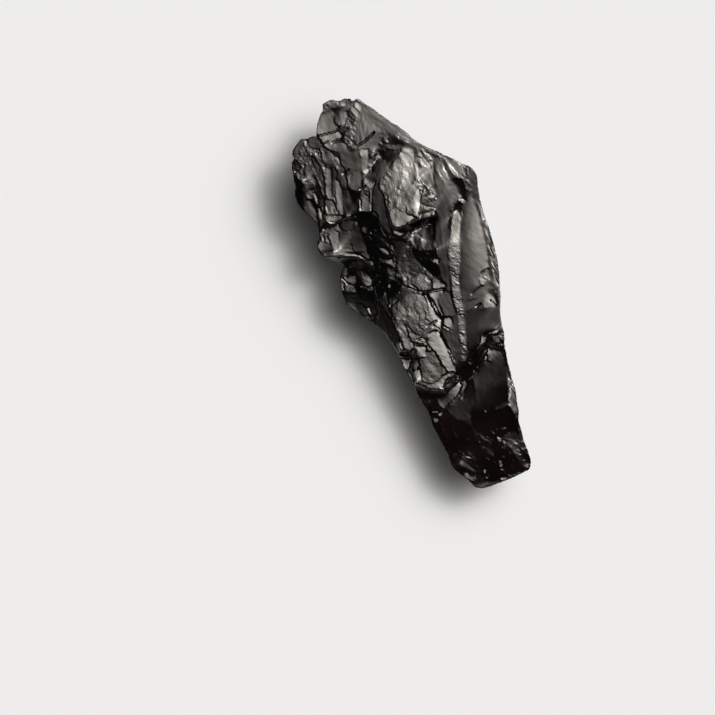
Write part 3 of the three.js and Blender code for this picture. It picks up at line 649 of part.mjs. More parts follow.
// Plan units to millimetres: x right and y down become the stone's own axes, seen from above.
const ca = Math.cos(rad(LONG_AXIS)), sa = Math.sin(rad(LONG_AXIS));
const mm = verts.map(([x, y, z]) => [UNIT * (x * ca - y * sa), UNIT * (-x * sa - y * ca), UNIT * z]);
const lo = [1e9, 1e9], hi = [-1e9, -1e9];
for (const v of mm) for (let k = 0; k < 2; k++) { lo[k] = Math.min(lo[k], v[k]); hi[k] = Math.max(hi[k], v[k]); }
for (const v of mm) for (let k = 0; k < 2; k++) v[k] -= (lo[k] + hi[k]) / 2;

const geometry = new THREE.BufferGeometry();
geometry.setAttribute('position', new THREE.Float32BufferAttribute(mm.flat(), 3));
geometry.setIndex(tris.flat());
geometry.computeVertexNormals();

const stone = new THREE.Mesh(
  geometry,
  new THREE.MeshStandardMaterial({ color: 0x15130f, roughness: 0.25, metalness: 0.3, flatShading: true }),
);
stone.name = 'shungite_stone';

const group = new THREE.Group();
group.add(stone);

export default group;
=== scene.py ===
import bpy
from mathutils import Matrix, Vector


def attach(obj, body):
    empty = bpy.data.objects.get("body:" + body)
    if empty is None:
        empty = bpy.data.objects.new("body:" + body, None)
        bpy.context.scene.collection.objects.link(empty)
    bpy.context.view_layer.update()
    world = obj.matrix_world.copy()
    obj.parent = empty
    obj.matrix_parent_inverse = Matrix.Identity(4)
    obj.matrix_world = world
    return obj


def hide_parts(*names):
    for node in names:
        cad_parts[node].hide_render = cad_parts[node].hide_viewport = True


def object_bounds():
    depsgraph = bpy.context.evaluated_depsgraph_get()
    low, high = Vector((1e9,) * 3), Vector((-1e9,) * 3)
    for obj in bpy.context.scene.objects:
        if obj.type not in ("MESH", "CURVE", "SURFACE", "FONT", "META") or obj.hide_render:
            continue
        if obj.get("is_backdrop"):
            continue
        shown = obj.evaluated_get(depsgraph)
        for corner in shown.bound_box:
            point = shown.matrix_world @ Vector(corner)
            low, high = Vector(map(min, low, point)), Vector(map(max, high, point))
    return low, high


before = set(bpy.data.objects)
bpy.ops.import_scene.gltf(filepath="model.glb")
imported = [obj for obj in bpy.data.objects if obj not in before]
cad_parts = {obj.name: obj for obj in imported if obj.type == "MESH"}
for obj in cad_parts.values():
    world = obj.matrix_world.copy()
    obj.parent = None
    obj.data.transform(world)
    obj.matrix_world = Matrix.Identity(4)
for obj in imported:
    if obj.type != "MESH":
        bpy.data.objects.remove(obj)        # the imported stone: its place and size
CAD_LO, CAD_HI = (list(map(float, p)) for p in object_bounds())

import bpy, bmesh, math
import numpy as np
from mathutils import Vector, Matrix
from mathutils.geometry import delaunay_2d_cdt

# One stone of noble shungite. Its upper side is laid out in plan units of 0.2 mm, x to the right and y down, as a
# table of fracture faces, each with the way it looks, its tilt and its grain. The surface that fits all of them at
# once is solved by least squares on a half-unit grid, so neighbouring faces meet in ridges or part in steps.
# The sides and the underside are cut by planes and shell-shaped scars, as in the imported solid.

# Outline of the upper side and its fracture faces. A face: name, its lie (azimuth it looks to, 0 to the right, 90 up
# the plan; tilt from level, degrees) or two lies (x, y, azimuth, tilt) between which it curves, its grain, its outline.
# Grain: ro rough, gl gently uneven, cr crumbled, fl flaked along an angle, st streaked, rib rippled, arc ringed.
OUT = [
  (322.3,105.5),(323,104),(326,102.5),(328.5,101),(330.5,100.2),(332.5,100),(335,100.8),(337,101),(339,101.2),(341,100.5),(342.5,99.5),(344.5,98.8),(347,99),(349,98.7),
  (350.8,99.2),(351.5,100.3),(353.5,101),(355.3,99.8),(357.2,98.9),(359,99.5),(361,101),(363.5,103),(366,104.6),(370,107),(375,110.3),(380,114.5),(385,117.8),(390,121.5),
  (395,124.5),(398,126),(400,128),(403,130.2),(406,132.2),(408.5,134.5),(411,137),(413,139),(416,141),(419,143),(422,144.3),(425,146),(428,148),(431,149),
  (434,150),(438,151.5),(441,153),(444,155),(447,156),(450,157.4),(453,158.7),(456,160.5),(459,162),(462,164),(465,164.6),(468,165.6),(471,167.5),(473,169.5),
  (475,172),(476.7,175),(477.3,178),(477.8,182),(478,186),(478.6,190),(479.3,194),(480,198),(481,202),(482,207),(483.5,212),(485,217),(486.8,222),(488.5,226),
  (489.5,229),(491,234.5),(493,240),(494.5,246),(496,253),(497.5,260),(498.5,266),(499.3,272),(499.6,278),(499.8,284),(500,290),(500.6,294),(501,298),(500.4,303),
  (500.2,309),(500.5,315),(501.3,321),(502.6,327),(504,332),(504.6,338),(504.4,343),(505.2,348),(506.4,353),(507.3,358),(508.3,363),(509.8,368),(511,373),(512,378),
  (513.2,382),(514.5,386),(515.8,391),(516.5,396),(517.2,401),(518,406),(519,410.5),(518.9,415),(518.7,420),(520,425),(521.5,430),(522.8,435),(523.8,440),(526,445),
  (528,450),(529.7,455),(531,459),(531.4,463),(531,466),(530,469),(529,470.4),(526,471.8),(522,473.8),(518,475.8),(514,477.5),(510,479.5),(506,481),(502,482.5),
  (498,484),(494,485.5),(490,487),(486,488.2),(483,488.8),(480,488.6),(477,488),(475,487.3),(473.5,485.8),(471,483),(468,480.5),(465,478),(462,476),(459,473.5),
  (456,471.5),(453.5,469),(451.5,466.5),(450.2,463),(449.5,459.5),(448.5,456),(447,452.5),(445,449.5),(443,446),(441,442),(439,438),(437,434),(435,430.5),(433,427),
  (431.7,423),(431,419.5),(429.5,415.5),(427,410),(423.5,405),(420.5,400),(417.5,395),(415.5,390),(413,385),(411.3,380),(408.5,375),(406,371),(404,368),(402.5,364),
  (401,360),(399.2,356.5),(396,350.5),(390.5,341.5),(384,332.5),(376.5,325.5),(367.5,319.5),(358.5,314),(351.5,308.8),(347,304.5),(344.5,300.5),(343.2,296.5),(342,293),(341,290),
  (340.5,287),(340,283),(339.8,279),(340.2,275),(341,271),(342.5,267.5),(344,265),(341,263.4),(336,261.5),(332,259.8),(327,257.4),(322,255.5),(319.3,253.5),(317.6,250.5),
  (317,246.5),(317.1,243),(317.9,240.5),(319,238),(319.1,235),(318.6,231),(317.8,227),(316.4,223),(314,220),(311,218),(308,215.5),(305,213),(302,210),(299.5,207),
  (297,203.5),(295.5,200),(294.5,196),(294.3,192),(295,188),(294.6,184),(293.6,181),(293.3,178),(292.9,174),(291.6,170),(291.4,166),(291.8,162.5),(293,160.4),(293.8,158.6),
  (293,156.8),(292.1,154.6),(292.3,152),(293.2,149.6),(295,147),(297,144),(299.5,141),(301.5,139.1),(304,139.4),(307,139),(310,137.6),(313,136.6),(316,136.6),(316.6,135.4),
  (316.2,132.5),(316.5,129),(317,125),(318.3,121),(319.3,118),(320.3,115),(321.5,112.6),(322.6,110.5),(322.8,108)]
F = [
 ('base',((387.2,295.3,42,3),(454.9,183.5,280,4.4)),[('ro',0.35,3)],
  [(280,90),(545,90),(545,500),(280,500)]),
 ('left_slope',((320.2,204.1,29,5.5),(334.9,200.7,26,6.2)),[('ro',0.5,3.5),('st',-68,5,2.2,0.5)],
  [(286,130),(322,130),(330,150),(345,200),(360,262),(372,268),(400,360),(390,362),(330,320),(300,240),(286,200)]),
 ('core',((384.8,294.3,137,6.5),(408.2,295.8,64,2.7)),[('ro',0.5,3)],
  [(360,210),(395,228),(440,245),(446,290),(400,300),(392,320),(376,300),(364,262),(356,225)]),
 ('toe',(216,5),[('ro',0.12,5)],
  [(415,380),(470,370),(500,345),(540,420),(535,480),(480,492),(440,450),(425,410)]),
 ('A_flake',((334.9,108.5,26,6.1),(335.5,101.1,65,5.3)),[('ro',0.6,2.2),('cr',1.0,2.4)],
  [(321,113),(322,105),(330,99),(340,100),(350,97.5),(353,101.5),(347,105.5),(341,107.6),(334,108.4),(329,110.8),(325,112.6)]),
 ('A1',((324,132,35,6.3),(341,112,295,0.7)),[('gl',0.1,8)],
  [(321,112.5),(325,112.6),(329,110.8),(334,108.4),(341,107.6),(347,105.5),(351,103),(352,108),(348,113),(347,122),(344,127),(340,128.2),(337,131.2),(332,133),
  (326,134.2),(319,136),(312,132),(314,120)]),
 ('A1d',((341.3,106.4,235,6.8),(345.2,111.2,71,3.5)),[('gl',0.1,6)],
  [(333,109),(341,107.4),(348,105.5),(352.5,103),(354,107),(350,110.5),(346,111),(341,111),(337,113.5),(333.5,114)]),
 ('A2',((332.6,140.8,38,7.1),(328.2,134.5,35,6.9)),[('gl',0.08,8)],
  [(314,136),(319,136),(326,134.2),(332,133),(337,131.2),(341,134),(343,137),(340,139.6),(335,141.5),(331,143.4),(326,144),(322.5,144.6),(318.5,141)]),
 ('A2b',((337,150,22,3.2),(336,144.3,36,5.5)),[('gl',0.12,5),('st',20,3,2.5,0.15)],
  [(322.5,144.6),(326,144),(331,142.6),(337,142.6),(345,143),(349,149.5),(343,151.5),(335,152.2),(330,150.6),(325,147.6)]),
 ('A3',((335,117,146,1.8),(346,122,32,7.6)),[('st',75,4,2.4,0.25)],
  [(333.6,120.5),(334.6,117),(337,113.6),(341,111.4),(345,110.8),(348,113),(347.5,122),(344,126),(341,128),(338,126.6),(334.6,123)]),
 ('A4',((345.2,134.2,35,12),(356.3,129.1,35,12)),[('rib',0,3.1,1.2),('cr',1.2,2.6),('sp',0.12,2.4)],
  [(348,112),(351,108.5),(356,106),(359,111),(357.4,117),(356.2,125),(356,135),(356.8,143),(356.5,148.2),(349.5,149.8),(347,145),(343,139.6),(343.5,131),(344.4,125),
  (347.4,118)]),
 ('A4b',(29,7.5),[('gl',0.1,4)],
  [(354,104.2),(357,101.8),(359.6,103.5),(362.4,109.8),(359.5,112.6),(357,110),(354.6,107.2)]),
 ('A4c',(21,7.3),[('rib',-42,3.0,0.5)],
  [(350.5,109.5),(354.4,107.2),(358,112),(359,116),(356.5,117.6),(353.5,114.8)]),
 ('A5',((358,130,66,2.7),(371,124,43,3.7)),[('st',88,6,2.4,0.26)],
  [(358.8,114.5),(363,110.3),(367,115.4),(373,122.4),(382,131),(377,133),(372.8,133.4),(368.8,137.8),(364,141.8),(357,146),(356.6,138),(356.2,128)]),
 ('A6',((378.2,140,320,5.1),(365.3,145.8,357,3.9)),[('st',60,4,2.6,0.16)],
  [(357,147),(363,143),(369,138.4),(373.4,134),(380,132.4),(385,137),(381,143),(378,149),(372,151),(364,149.4),(359,149.4)]),
 ('B',((370,108,35,2.2),(412,142,315,1.8)),[('st',-38,10,3.2,0.15)],
  [(355,97),(372,104),(400,122),(420,140),(419,146),(411,144),(407,141.4),(400,137.6),(393,133.4),(386,131.2),(380,128.2),(373,121.4),(367,115),(362.4,109.4),
  (358,102)]),
 ('Bl',(318,1.7),[('st',-32,8,2,0.2)],
  [(373,120.4),(380,124.8),(388,129),(396,132.8),(404,137.4),(411,141.8),(414,146),(410,144),(406,141.6),(400,138.4),(393,134),(386,131.4),(380,128.6)]),
 ('B2',((420,145,311,3.3),(446,157,240,11.8)),[('st',-28,8,2,0.15)],
  [(412,141),(420,140),(434,146),(452,155),(450,159),(443,157.4),(437,155),(431,153),(425,151.6),(420,150),(415,147.6)]),
 ('B2l',(323,3.1),[('gl',0.1,4)],
  [(426.5,147.6),(430,148.8),(435,151),(440.5,154.4),(444,157),(441,157.2),(436,154),(431,151.4)]),
 ('B3',(255,6.6),[('ro',0.35,2.4)],
  [(416,147.8),(422,149.6),(428,151.4),(434,153.6),(441,157),(438,161),(434,158),(430,155.4),(424,152.6),(418,150.6)]),
 ('D0',((389.9,149.6,231,11.5),(395.6,136.9,251,4.3)),[('ro',0.5,2.4),('sp',0.08,1.9)],
  [(384,135),(388,132.4),(394,134.4),(402,139),(409,143.6),(404,148),(400,153),(396,158),(391,161),(386,161.6),(380,159),(378,152),(381,144)]),
 ('D_pit',(250,8.5),[('gl',0.1,3)],
  [(391,138.4),(395,137.6),(399,139.8),(404,143.4),(400,145.6),(394,145),(390.6,142.8)]),
 ('D_lip',(113,6.2),[('st',-5,5,1.6,0.3)],
  [(386,144.6),(391,145),(397,146),(403,145),(401.6,148.6),(396,150),(390,149),(386.4,147.6)]),
 ('D_low',((383.8,154.3,194,9.2),(394.1,156.4,136,8.4)),[('ro',0.25,4)],
  [(380,151),(386,150.4),(392,151.4),(400,150.6),(397,156.8),(392,160.4),(387,161),(381,158.6)]),
 ('D_br1',(10,3.7),[('cr',0.8,2.2)],
  [(380,131.6),(384,131),(387,134.6),(389,139.6),(386,141.4),(382,139.8),(380,136)]),
 ('D_br2',(153,2.4),[('cr',0.9,2)],
  [(378.4,143.4),(382,141.6),(385.4,145),(384.6,150.6),(379.6,150.4)]),
 ('D2',((376,168.8,125,6.8),(385.1,170.6,92,5)),[('ro',0.6,2.4)],
  [(373,154),(380,158),(388,162.4),(393,162),(389,169),(386,176),(382,180),(377.6,185),(373.4,181),(371.6,170),(371.4,160)]),
 ('C1',((382,190,35,12),(416,190,81,5.3)),[('fl',-70,4.5,2.2,0.6),('cr',0.6,2.4),('ro',0.4,2.2)],
  [(409,144),(413,147.6),(416.4,153),(416.4,162),(417.4,170),(417,180),(419.4,187),(420.6,193),(421,200),(421.4,204),(420.4,208),(418.8,214),(417.2,218.8),(410,222),
  (404,225.6),(399,229),(395.4,229.4),(391.4,226.6),(389.8,220),(387.4,213),(385.6,207),(384.6,200),(383.6,195),(379.6,189.4),(378,184),(380.6,179.4),(385.6,176.2),(389.6,167.4),
  (393,162),(398,158),(401,152),(405,148)]),
 ('C1b',((382,186,42,4.3),(398,166,34,4.5)),[('ro',0.7,2.6),('cr',0.5,3)],
  [(378.4,184),(381,179.6),(386,176.4),(390,167.4),(394,162),(399,158.6),(402,163),(403,170),(402,178),(399,186),(394,190),(389,196),(385,199),(383.6,195),
  (380,189.4)]),
 ('C1a',((403,166,20,8.7),(412,166,38,4.5)),[('st',80,4,2.8,0.45),('ro',0.25,2.5)],
  [(401,160),(405,150),(409,145.6),(412.6,149),(415,156),(415,166),(414,176),(411,184),(405,186.6),(401.6,186),(402.6,178),(404,168)]),
 ('C1c',(72,4.3),[('fl',-30,4,2,0.35),('gl',0.2,4)],
  [(401,188),(406,186),(414,184),(418.6,187.4),(419.6,191),(416,198),(412,203),(409,208.6),(404,208),(400,203),(399.6,196)]),
 ('C1k',((391.1,202.6,33,8.4),(400.5,202,41,5)),[('cr',1.0,2.4),('ro',0.6,1.8)],
  [(388,196),(394,191.4),(400,190),(401,197),(402,204),(408,208),(406,212),(398,211),(391,211.4),(387.6,206)]),
 ('C1d',((414,200,53,7.2),(420,200,17,9.6)),[('gl',0.2,4)],
  [(417.6,190.4),(420.4,193),(421,200),(421.4,204),(420,208.6),(418.4,215.4),(415.4,214.4),(412.4,209.4),(411.4,204),(414,198)]),
 ('C1e',((405.5,223.1,35,12),(403,219.4,35,12)),[('gl',0.25,3.5)],
  [(395.6,220.6),(402,217.6),(408,214.6),(413,215.6),(417,218.6),(410,222),(404,225.6),(399,229),(395.4,229)]),
 ('C1f',((393.9,222.3,21,4.3),(397.4,212.7,49,5)),[('gl',0.2,5),('cr',0.3,3)],
  [(387.6,212),(392,211.4),(398,211),(406,212.6),(407.6,215),(401,218),(396,220.4),(395.4,229),(391.4,226.6),(389.8,220)]),
 ('C2a',(271,2.7),[('cr',0.9,2.4),('sp',0.08,2.3)],
  [(414,147.6),(417,149),(421.4,150),(426,153.4),(431,156.4),(433.4,163),(430.6,167.6),(424,167.8),(419,162),(416.6,155)]),
 ('C2s',(2,4.6),[('rib',-48,2.6,0.5)],
  [(420,158),(424,158.4),(428,162),(431,166),(429.4,168),(425,166.8),(421.6,163)]),
 ('C2b',((420,172,51,3.9),(430,180,356,2.1)),[('gl',0.2,5)],
  [(417.6,170),(422,167.6),(426,166.6),(431,168.4),(432.4,178),(431.6,186),(428.4,188.6),(424,184.4),(420,180.6),(417.2,177)]),
 ('C2c',((432,192.6,20,10.2),(423.6,194.8,35,12)),[('rib',-47,3.0,1.4),('cr',1.0,2.2)],
  [(417.6,180),(420.4,181),(424,184.8),(428.4,189),(434,188.4),(436,194),(435.8,201),(433.6,207),(429,203.4),(424,198.4),(420.4,192.4)]),
 ('C2d',(339,6.2),[('gl',0.1,4)],
  [(420.6,193),(424.6,198.4),(429.4,202.4),(433.4,207.4),(429,206.4),(424,204.4),(421.4,201)]),
 ('C2e',((424.9,216.3,74,29),(424.9,209.5,54,23.3)),[('gl',0.15,4)],
  [(421.4,203.4),(427,206.2),(433,209.6),(434.4,213),(430.4,216.4),(424,218.6),(418.8,219),(420.4,211)]),
 ('C2f',(55,22.7),[('rib',-45,2.8,0.5)],
  [(424,204),(429,207),(433.4,210.6),(433,213),(429,211),(425,208)]),
 ('CL',((387,205,303,2.7),(374,205,136,1.3)),[('gl',0.1,7)],
  [(373,190),(377.6,185.4),(380.4,190),(384,196),(385,203),(386.6,210),(388,217),(390,225),(391.4,231.6),(388,235.6),(384,232.6),(379,225),(375,217.6),(372,210),
  (371.6,200)]),
 ('S1',((410,222,300,58),(404,236,35,12)),[('ro',0.3,3)],
  [(417.8,219.4),(424,219),(430,217.4),(434.4,214),(436.4,218),(434.4,222.6),(428,225.6),(422,227.4),(416,227.4),(410.6,229.6),(406,233.6),(401,236.6),(396,238.4),(390.6,236.4),
  (393,231.6),(398,229.8),(404,226),(410,222.4)]),
 ('H0',((429,240.5,104,9.9),(415.3,236.9,122,9.5)),[('st',86,6,2.4,0.4)],
  [(410.6,231),(416.4,227.6),(424,226.4),(430.6,224.4),(434.6,222),(434.4,232),(433.4,240),(434,246.4),(430,249.4),(424,250.4),(417,249.6),(412,246.6),(410.6,239)]),
 ('H1',((422,238,69,12.7),(426,238,89,11.9)),[('st',88,5,1.8,0.2)],
  [(421.6,229),(424.6,228),(426,236),(425.6,244),(424,249.4),(421.6,249)]),
 ('H2',(37,4.6),[('gl',0.1,3)],
  [(410.8,235),(412.8,234),(414,241),(416.4,247.6),(413.8,247.6),(411.4,243)]),
 ('H3',(96,11.1),[('rib',-58,2.6,0.4)],
  [(414.4,232),(418,232.4),(419.8,238),(420.4,242),(417.6,241),(415,237)]),
 ('H4',(111,12.3),[('gl',0.1,4)],
  [(428.6,226),(434.4,222.4),(434.2,232),(433.2,240),(433.6,246),(431,247),(430,238)]),
 ('G11',(239,11.8),[('gl',0.15,3),('sp',0.03,1.5)],
  [(411.6,248),(417,250.6),(424,251.4),(430,250.6),(436.4,248),(438.6,262),(438.8,275),(435.4,277.6),(428,271.4),(420,264.6),(414,257),(411,252)]),
 ('G11s',(36,6.5),[('gl',0.1,2)],
  [(430.6,261.6),(434,258.8),(439,258.8),(439,262),(434,263.4)]),
 ('G0',((373.4,263,216,10.6),(394.8,260.2,246,3.6)),[('ro',0.85,2.0),('cr',0.9,2.4),('sp',0.05,2.0)],
  [(372,226),(378,224),(391,236),(397,240),(410,232),(411,247),(414,257),(420,264),(428,271),(426,275),(412,271),(404,272),(402,280),(407,284),
  (400,293),(390,297),(384,291),(380,302),(374,296),(374,277),(368,268),(372,260),(366,250),(364,240),(367,228)]),
 ('G1',(16,5.7),[('gl',0.1,3)],
  [(377.6,223.4),(379.6,224),(384,232),(388,237),(391.4,242),(387,239.6),(382,233.6)]),
 ('G2',((381.1,242.2,244,6.6),(385.3,240.1,283,3.3)),[('st',-58,4,2,0.4)],
  [(378,232),(382,234.4),(388,240),(390,246),(386,249.4),(380,244.4),(377,238)]),
 ('G3',(26,5),[('gl',0.2,2.4)],
  [(378.8,248),(384,247.6),(389.4,252),(388.4,254.4),(383,252.6),(379.8,250.4)]),
 ('G4',(30,9.6),[('cr',0.5,2)],
  [(390.6,245),(394,246),(396.6,252.4),(393.4,254),(391,250)]),
 ('G5',(14,4),[('cr',0.5,2)],
  [(402,246.6),(407.4,246),(407.4,250.4),(403.4,252.6)]),
 ('G6',(286,6.2),[('ro',0.9,1.8),('sp',0.1,2.2)],
  [(393,240),(401,240.6),(409,243),(410,252),(414,258),(405,262),(398,261),(394,255)]),
 ('G7',(37,5.4),[('ro',0.3,1.8)],
  [(376,263.4),(384,260.6),(392,258.4),(393.2,262),(390.4,264.6),(384,262.8),(377,264.4)]),
 ('G8',(63,4.3),[('gl',0.2,3)],
  [(365,261),(371,259.6),(375.4,263),(374,266.4),(369,265.6)]),
 ('G9',(13,4.1),[('cr',0.8,2)],
  [(390,268),(394,271),(396,276),(393,278),(388.4,273)]),
 ('G9b',(0,3.4),[('cr',0.5,2)],
  [(397.4,262),(401,262.6),(402,268),(401.4,275),(398.4,277),(397.8,270)]),
 ('G10',(188,11.9),[('gl',0.08,4)],
  [(384,287),(388,282.4),(393,281),(398,283),(400.4,288),(397,293),(391,296.4),(386.6,294.6),(384,290.6)]),
 ('G10s',(34,8.1),[('gl',0.1,2)],
  [(387.4,286.8),(389.6,284),(391.4,284.4),(390.4,287),(388,288.4)]),
 ('K0',((413.2,262.6,272,3.8),(408.7,270.2,289,4.3)),[('ro',0.7,2.2),('sp',0.06,1.4)],
  [(402,262),(406,258),(412,257.4),(419,264.4),(426,271.4),(424.6,275),(416,271),(408,271),(403,276),(401,270)]),
 ('K1',(49,4.6),[('ro',0.5,2.4),('cr',0.6,2.4),('sp',0.04,1.4)],
  [(402,277),(408,275.6),(414,278),(421,277.4),(425,275.4),(432,275.4),(438,277.4),(441.4,281.6),(445.4,284),(446.4,288.4),(438,290),(430,291),(422,292),(414,290.4),
  (408,287.4),(403.6,283)]),
 ('K_slit',(219,4.7),[('gl',0.1,3)],
  [(408,272.4),(414,273.4),(420.4,274),(414,277),(408.6,275.4)]),
 ('K_l',(262,6.2),[('gl',0.2,3)],
  [(409,270.4),(415,270.8),(420.6,272.2),(420.4,273.6),(414,272.4),(409,271.8)]),
 ('K2',(35,12),[('gl',0.25,2.4)],
  [(407,283.4),(411,284.4),(417,288),(419,290.4),(414,289.6),(409,286.8)]),
 ('K3',(35,12),[('gl',0.2,2.4)],
  [(423.6,278.6),(428,279),(432,282),(428,283),(425,281)]),
 ('K4',(30,6.9),[('gl',0.2,3)],
  [(433,283),(440,282),(445.6,285),(445.4,288),(438,289),(432,288.6)]),
 ('E1',((346,160,351,1.9),(357,156,36,0.8)),[('gl',0.12,6)],
  [(339,153),(345,151.4),(352,150.4),(360,149.6),(361,158),(361,171),(355,172.4),(347,172),(341.6,167),(340,160)]),
 ('E2',((362,160,347,3.7),(367,160,8,5.5)),[('st',86,5,2.4,0.25)],
  [(360.6,155),(368.4,154),(368,162),(366.8,171),(361.6,171.6),(360.6,163)]),
 ('E2t',(25,7.5),[('gl',0.15,3)],
  [(358.6,153.6),(360.6,150.4),(364,149.2),(368.8,149.4),(368.4,154),(363.6,154.4),(361,158)]),
 ('E3',((373.5,161.5,332,15.1),(369.7,161.2,111,1.8)),[('cr',0.8,2.6)],
  [(368.4,155),(373,151.8),(377,153.4),(375,162),(373,170),(371.4,175),(367,171.6),(368,163)]),
 ('E4',((350,178,33,1.1),(358,184,75,3.5)),[('arc',356.5,179.5,2.7,0.12),('gl',0.1,4)],
  [(346,172.4),(353,171.6),(361,171.4),(362.4,180),(361.4,187),(357.4,191),(352,191),(348,188.4),(346.4,182)]),
 ('E4l',(26,5.4),[('rib',40,2.2,0.3)],
  [(346,178),(349.6,174.6),(352.4,175),(350.6,179.4),(350.8,184),(347.6,184.6)]),
 ('E5',((371.4,180.6,94,3.4),(364.8,183.2,47,6.1)),[('cr',0.7,2.8)],
  [(362,171.4),(370,170.8),(372.6,177),(374.6,182),(372,188),(368.4,192.6),(365,190.6),(363,186),(362.4,180)]),
 ('E5t',(39,10.1),[('gl',0.2,2.4)],
  [(363,171.8),(367.6,169.4),(369.6,170.4),(368.4,173.6),(364.6,174.4)]),
 ('E8',(201,1.2),[('st',82,4,3,0.18)],
  [(340,188),(348,189),(350.6,194),(354,203.6),(360,200),(360,208),(357.6,213.6),(352.4,216),(347,215.4),(343.4,217),(342.4,206)]),
 ('E6',(201,10.5),[('gl',0.1,3)],
  [(347.4,188.2),(352,191),(357.4,191.6),(362.6,188.4),(359.6,195),(356.6,200),(354,203.6),(351,198),(349.6,193)]),
 ('E6r',(342,2.4),[('st',86,4,2.4,0.2)],
  [(361,190.6),(365,190.4),(369,192),(370.6,198),(368.6,196.4),(364.6,194.6),(360.6,197)]),
 ('E7',((361,204,31,5.1),(369,204,64,2.5)),[('gl',0.15,5)],
  [(359.6,197.4),(364.6,194.6),(369,196),(370.6,203),(370.4,210.4),(366,213.4),(360,212.6),(358.6,209.4),(359.4,202)]),
 ('E7e',(35,12),[('gl',0.05,3)],
  [(359.4,199),(361,198.6),(361,205),(361.2,212.4),(358.8,212),(358.4,207)]),
 ('E9',(235,11.6),[('gl',0.12,3),('sp',0.02,1.4)],
  [(357,214),(361,212.4),(367,213),(373,210.6),(377.6,214.6),(378,222),(372,229),(367,229),(361,230),(357.4,223)]),
 ('E9r',(341,1.1),[('cr',0.6,2.2)],
  [(370,212.4),(374,211.6),(377.4,215),(377.6,220),(374,218),(371,216)]),
 ('E10',(351,3.7),[('cr',0.5,2.4)],
  [(360.6,229.6),(364,226),(367.4,226.4),(367,230),(364,234.6),(361,233)]),
 ('F4',(330,2.1),[('st',-86,5,2.6,0.3)],
  [(330,163),(340,163),(346,171),(347.4,187),(343,190),(338,181),(333,174)]),
 ('F4s',(34,9.9),[('cr',0.6,2)],
  [(334.6,167),(337,164.6),(340,168),(340,170.6),(336.6,170)]),
 ('F1',((325.4,180,15,8),(331,180,22,3.7)),[('st',-88,8,1.6,0.35)],
  [(324.4,168),(328.6,165.4),(331.4,171),(331.6,185),(332,195),(331.4,199.6),(327.6,200.4),(325.4,195),(325,182)]),
 ('F2',((332.7,178.2,263,2.2),(335.1,178.5,335,2.6)),[('st',-88,8,1.8,0.25)],
  [(331.4,168),(335,166),(337.4,174),(335.6,185),(334.8,196),(332.6,199),(331.8,185)]),
 ('F3',((335.6,200,17,7.1),(343,200,41,3.7)),[('st',-88,8,1.8,0.3)],
  [(335.4,180),(338.6,181),(342.4,190),(342.6,205),(344,215),(342,216.6),(338,215.6),(336,205),(335,195)]),
 ('F5',(26,4.9),[('cr',0.5,3),('st',-88,4,2,0.3)],
  [(324,203),(328.6,200.6),(333,200.6),(336,207),(339,214.6),(334,215.6),(329,215),(325,216),(323.6,209)]),
 ('F5s',(35,11.1),[('gl',0.2,2)],
  [(325.4,207.6),(328,207),(327.8,212),(325.8,212.6)]),
 ('F6',(30,7),[('rib',18,2.7,0.4),('cr',0.7,2.4)],
  [(325.6,218),(332,215.4),(340,215.4),(344,216),(340,220.4),(335.4,224.6),(329,224.8),(325,222)]),
 ('F6s',(35,12),[('gl',0.2,2)],
  [(327.6,221.6),(332.6,221.4),(333.6,223.8),(328.6,224.6)]),
 ('F7',(280,52),[('ro',0.2,2)],
  [(321.6,228.4),(326,226),(331,225),(336,224.8),(340,221),(345.6,217.2),(350.4,215.6),(350.6,217),(346.4,219),(341,222.6),(336.4,226.4),(330,227),(325,229)]),
 ('F8',(35,11.4),[('cr',0.5,2)],
  [(317.2,208),(320.6,207.6),(322.4,213),(323.4,217.6),(321,221.6),(318.4,219.6),(317.8,213)]),
 ('L1a',(34,1.8),[('ro',0.3,3)],
  [(290,150),(299,138),(307,136),(317,134.6),(320.4,141),(323.4,145),(319.4,149.4),(312,148.4),(308,145.6),(304,147),(300,151),(296,153),(290,156)]),
 ('L1as',(33,8.5),[('gl',0.15,3)],
  [(304,141),(308,140.6),(307.6,144),(306,147.6),(303.8,145.4)]),
 ('L1b',((312,160,31,7),(300,185,0,1.5)),[('fl',-66,4.5,1.6,0.8),('cr',0.7,2.0),('sp',0.08,2.4)],
  [(290,156),(296,152.6),(304,146.6),(312,148),(320,149.6),(326,160),(329,168),(325.4,175),(325.2,200),(318,208),(311,201),(306,199.6),(304.6,184),(299,180),
  (292,176),(290,166)]),
 ('L1g0',((323.4,168.7,242,1.8),(314.3,181.9,356,3.3)),[('st',-66,6,1.8,0.5)],
  [(311.4,156),(314.6,157),(318.6,163),(321.6,170),(324.6,182),(325,196),(323,198),(320.4,190),(318,181),(315,171),(312,163)]),
 ('L1c',(11,2.4),[('gl',0.25,3.5)],
  [(304,164),(310,166),(313,172),(314,180),(309.6,180.6),(304.6,173)]),
 ('L1d',(57,5.6),[('gl',0.2,2.4)],
  [(295,172),(299.4,172.6),(300.4,178),(296.4,176.6)]),
 ('L1i',((330.9,164.4,36,3.1),(328.1,152.7,9,2.5)),[('cr',0.7,3.2),('ro',0.4,2)],
  [(319.6,150),(325,148.6),(331,152),(338,156.6),(340.6,163),(336,165.6),(331,168),(327,168),(322,160)]),
 ('L1e',((304,195,193,3.7),(295,195,200,28)),[('st',-62,5,3,0.25)],
  [(288,176),(293,176),(299,180),(304.4,184),(305.6,191),(306.6,199.6),(311.4,201.4),(314.6,206.6),(317.4,212.6),(319,222),(320,230),(312,228),(288,208)]),
 ('L1f',((311.8,188,320,6.3),(306.1,193.2,22,9)),[('cr',0.5,3),('st',-70,4,2.2,0.3)],
  [(304.4,181),(308.6,180.6),(312.6,186),(314.6,192),(312.4,199.4),(307,200.2),(305.2,193)]),
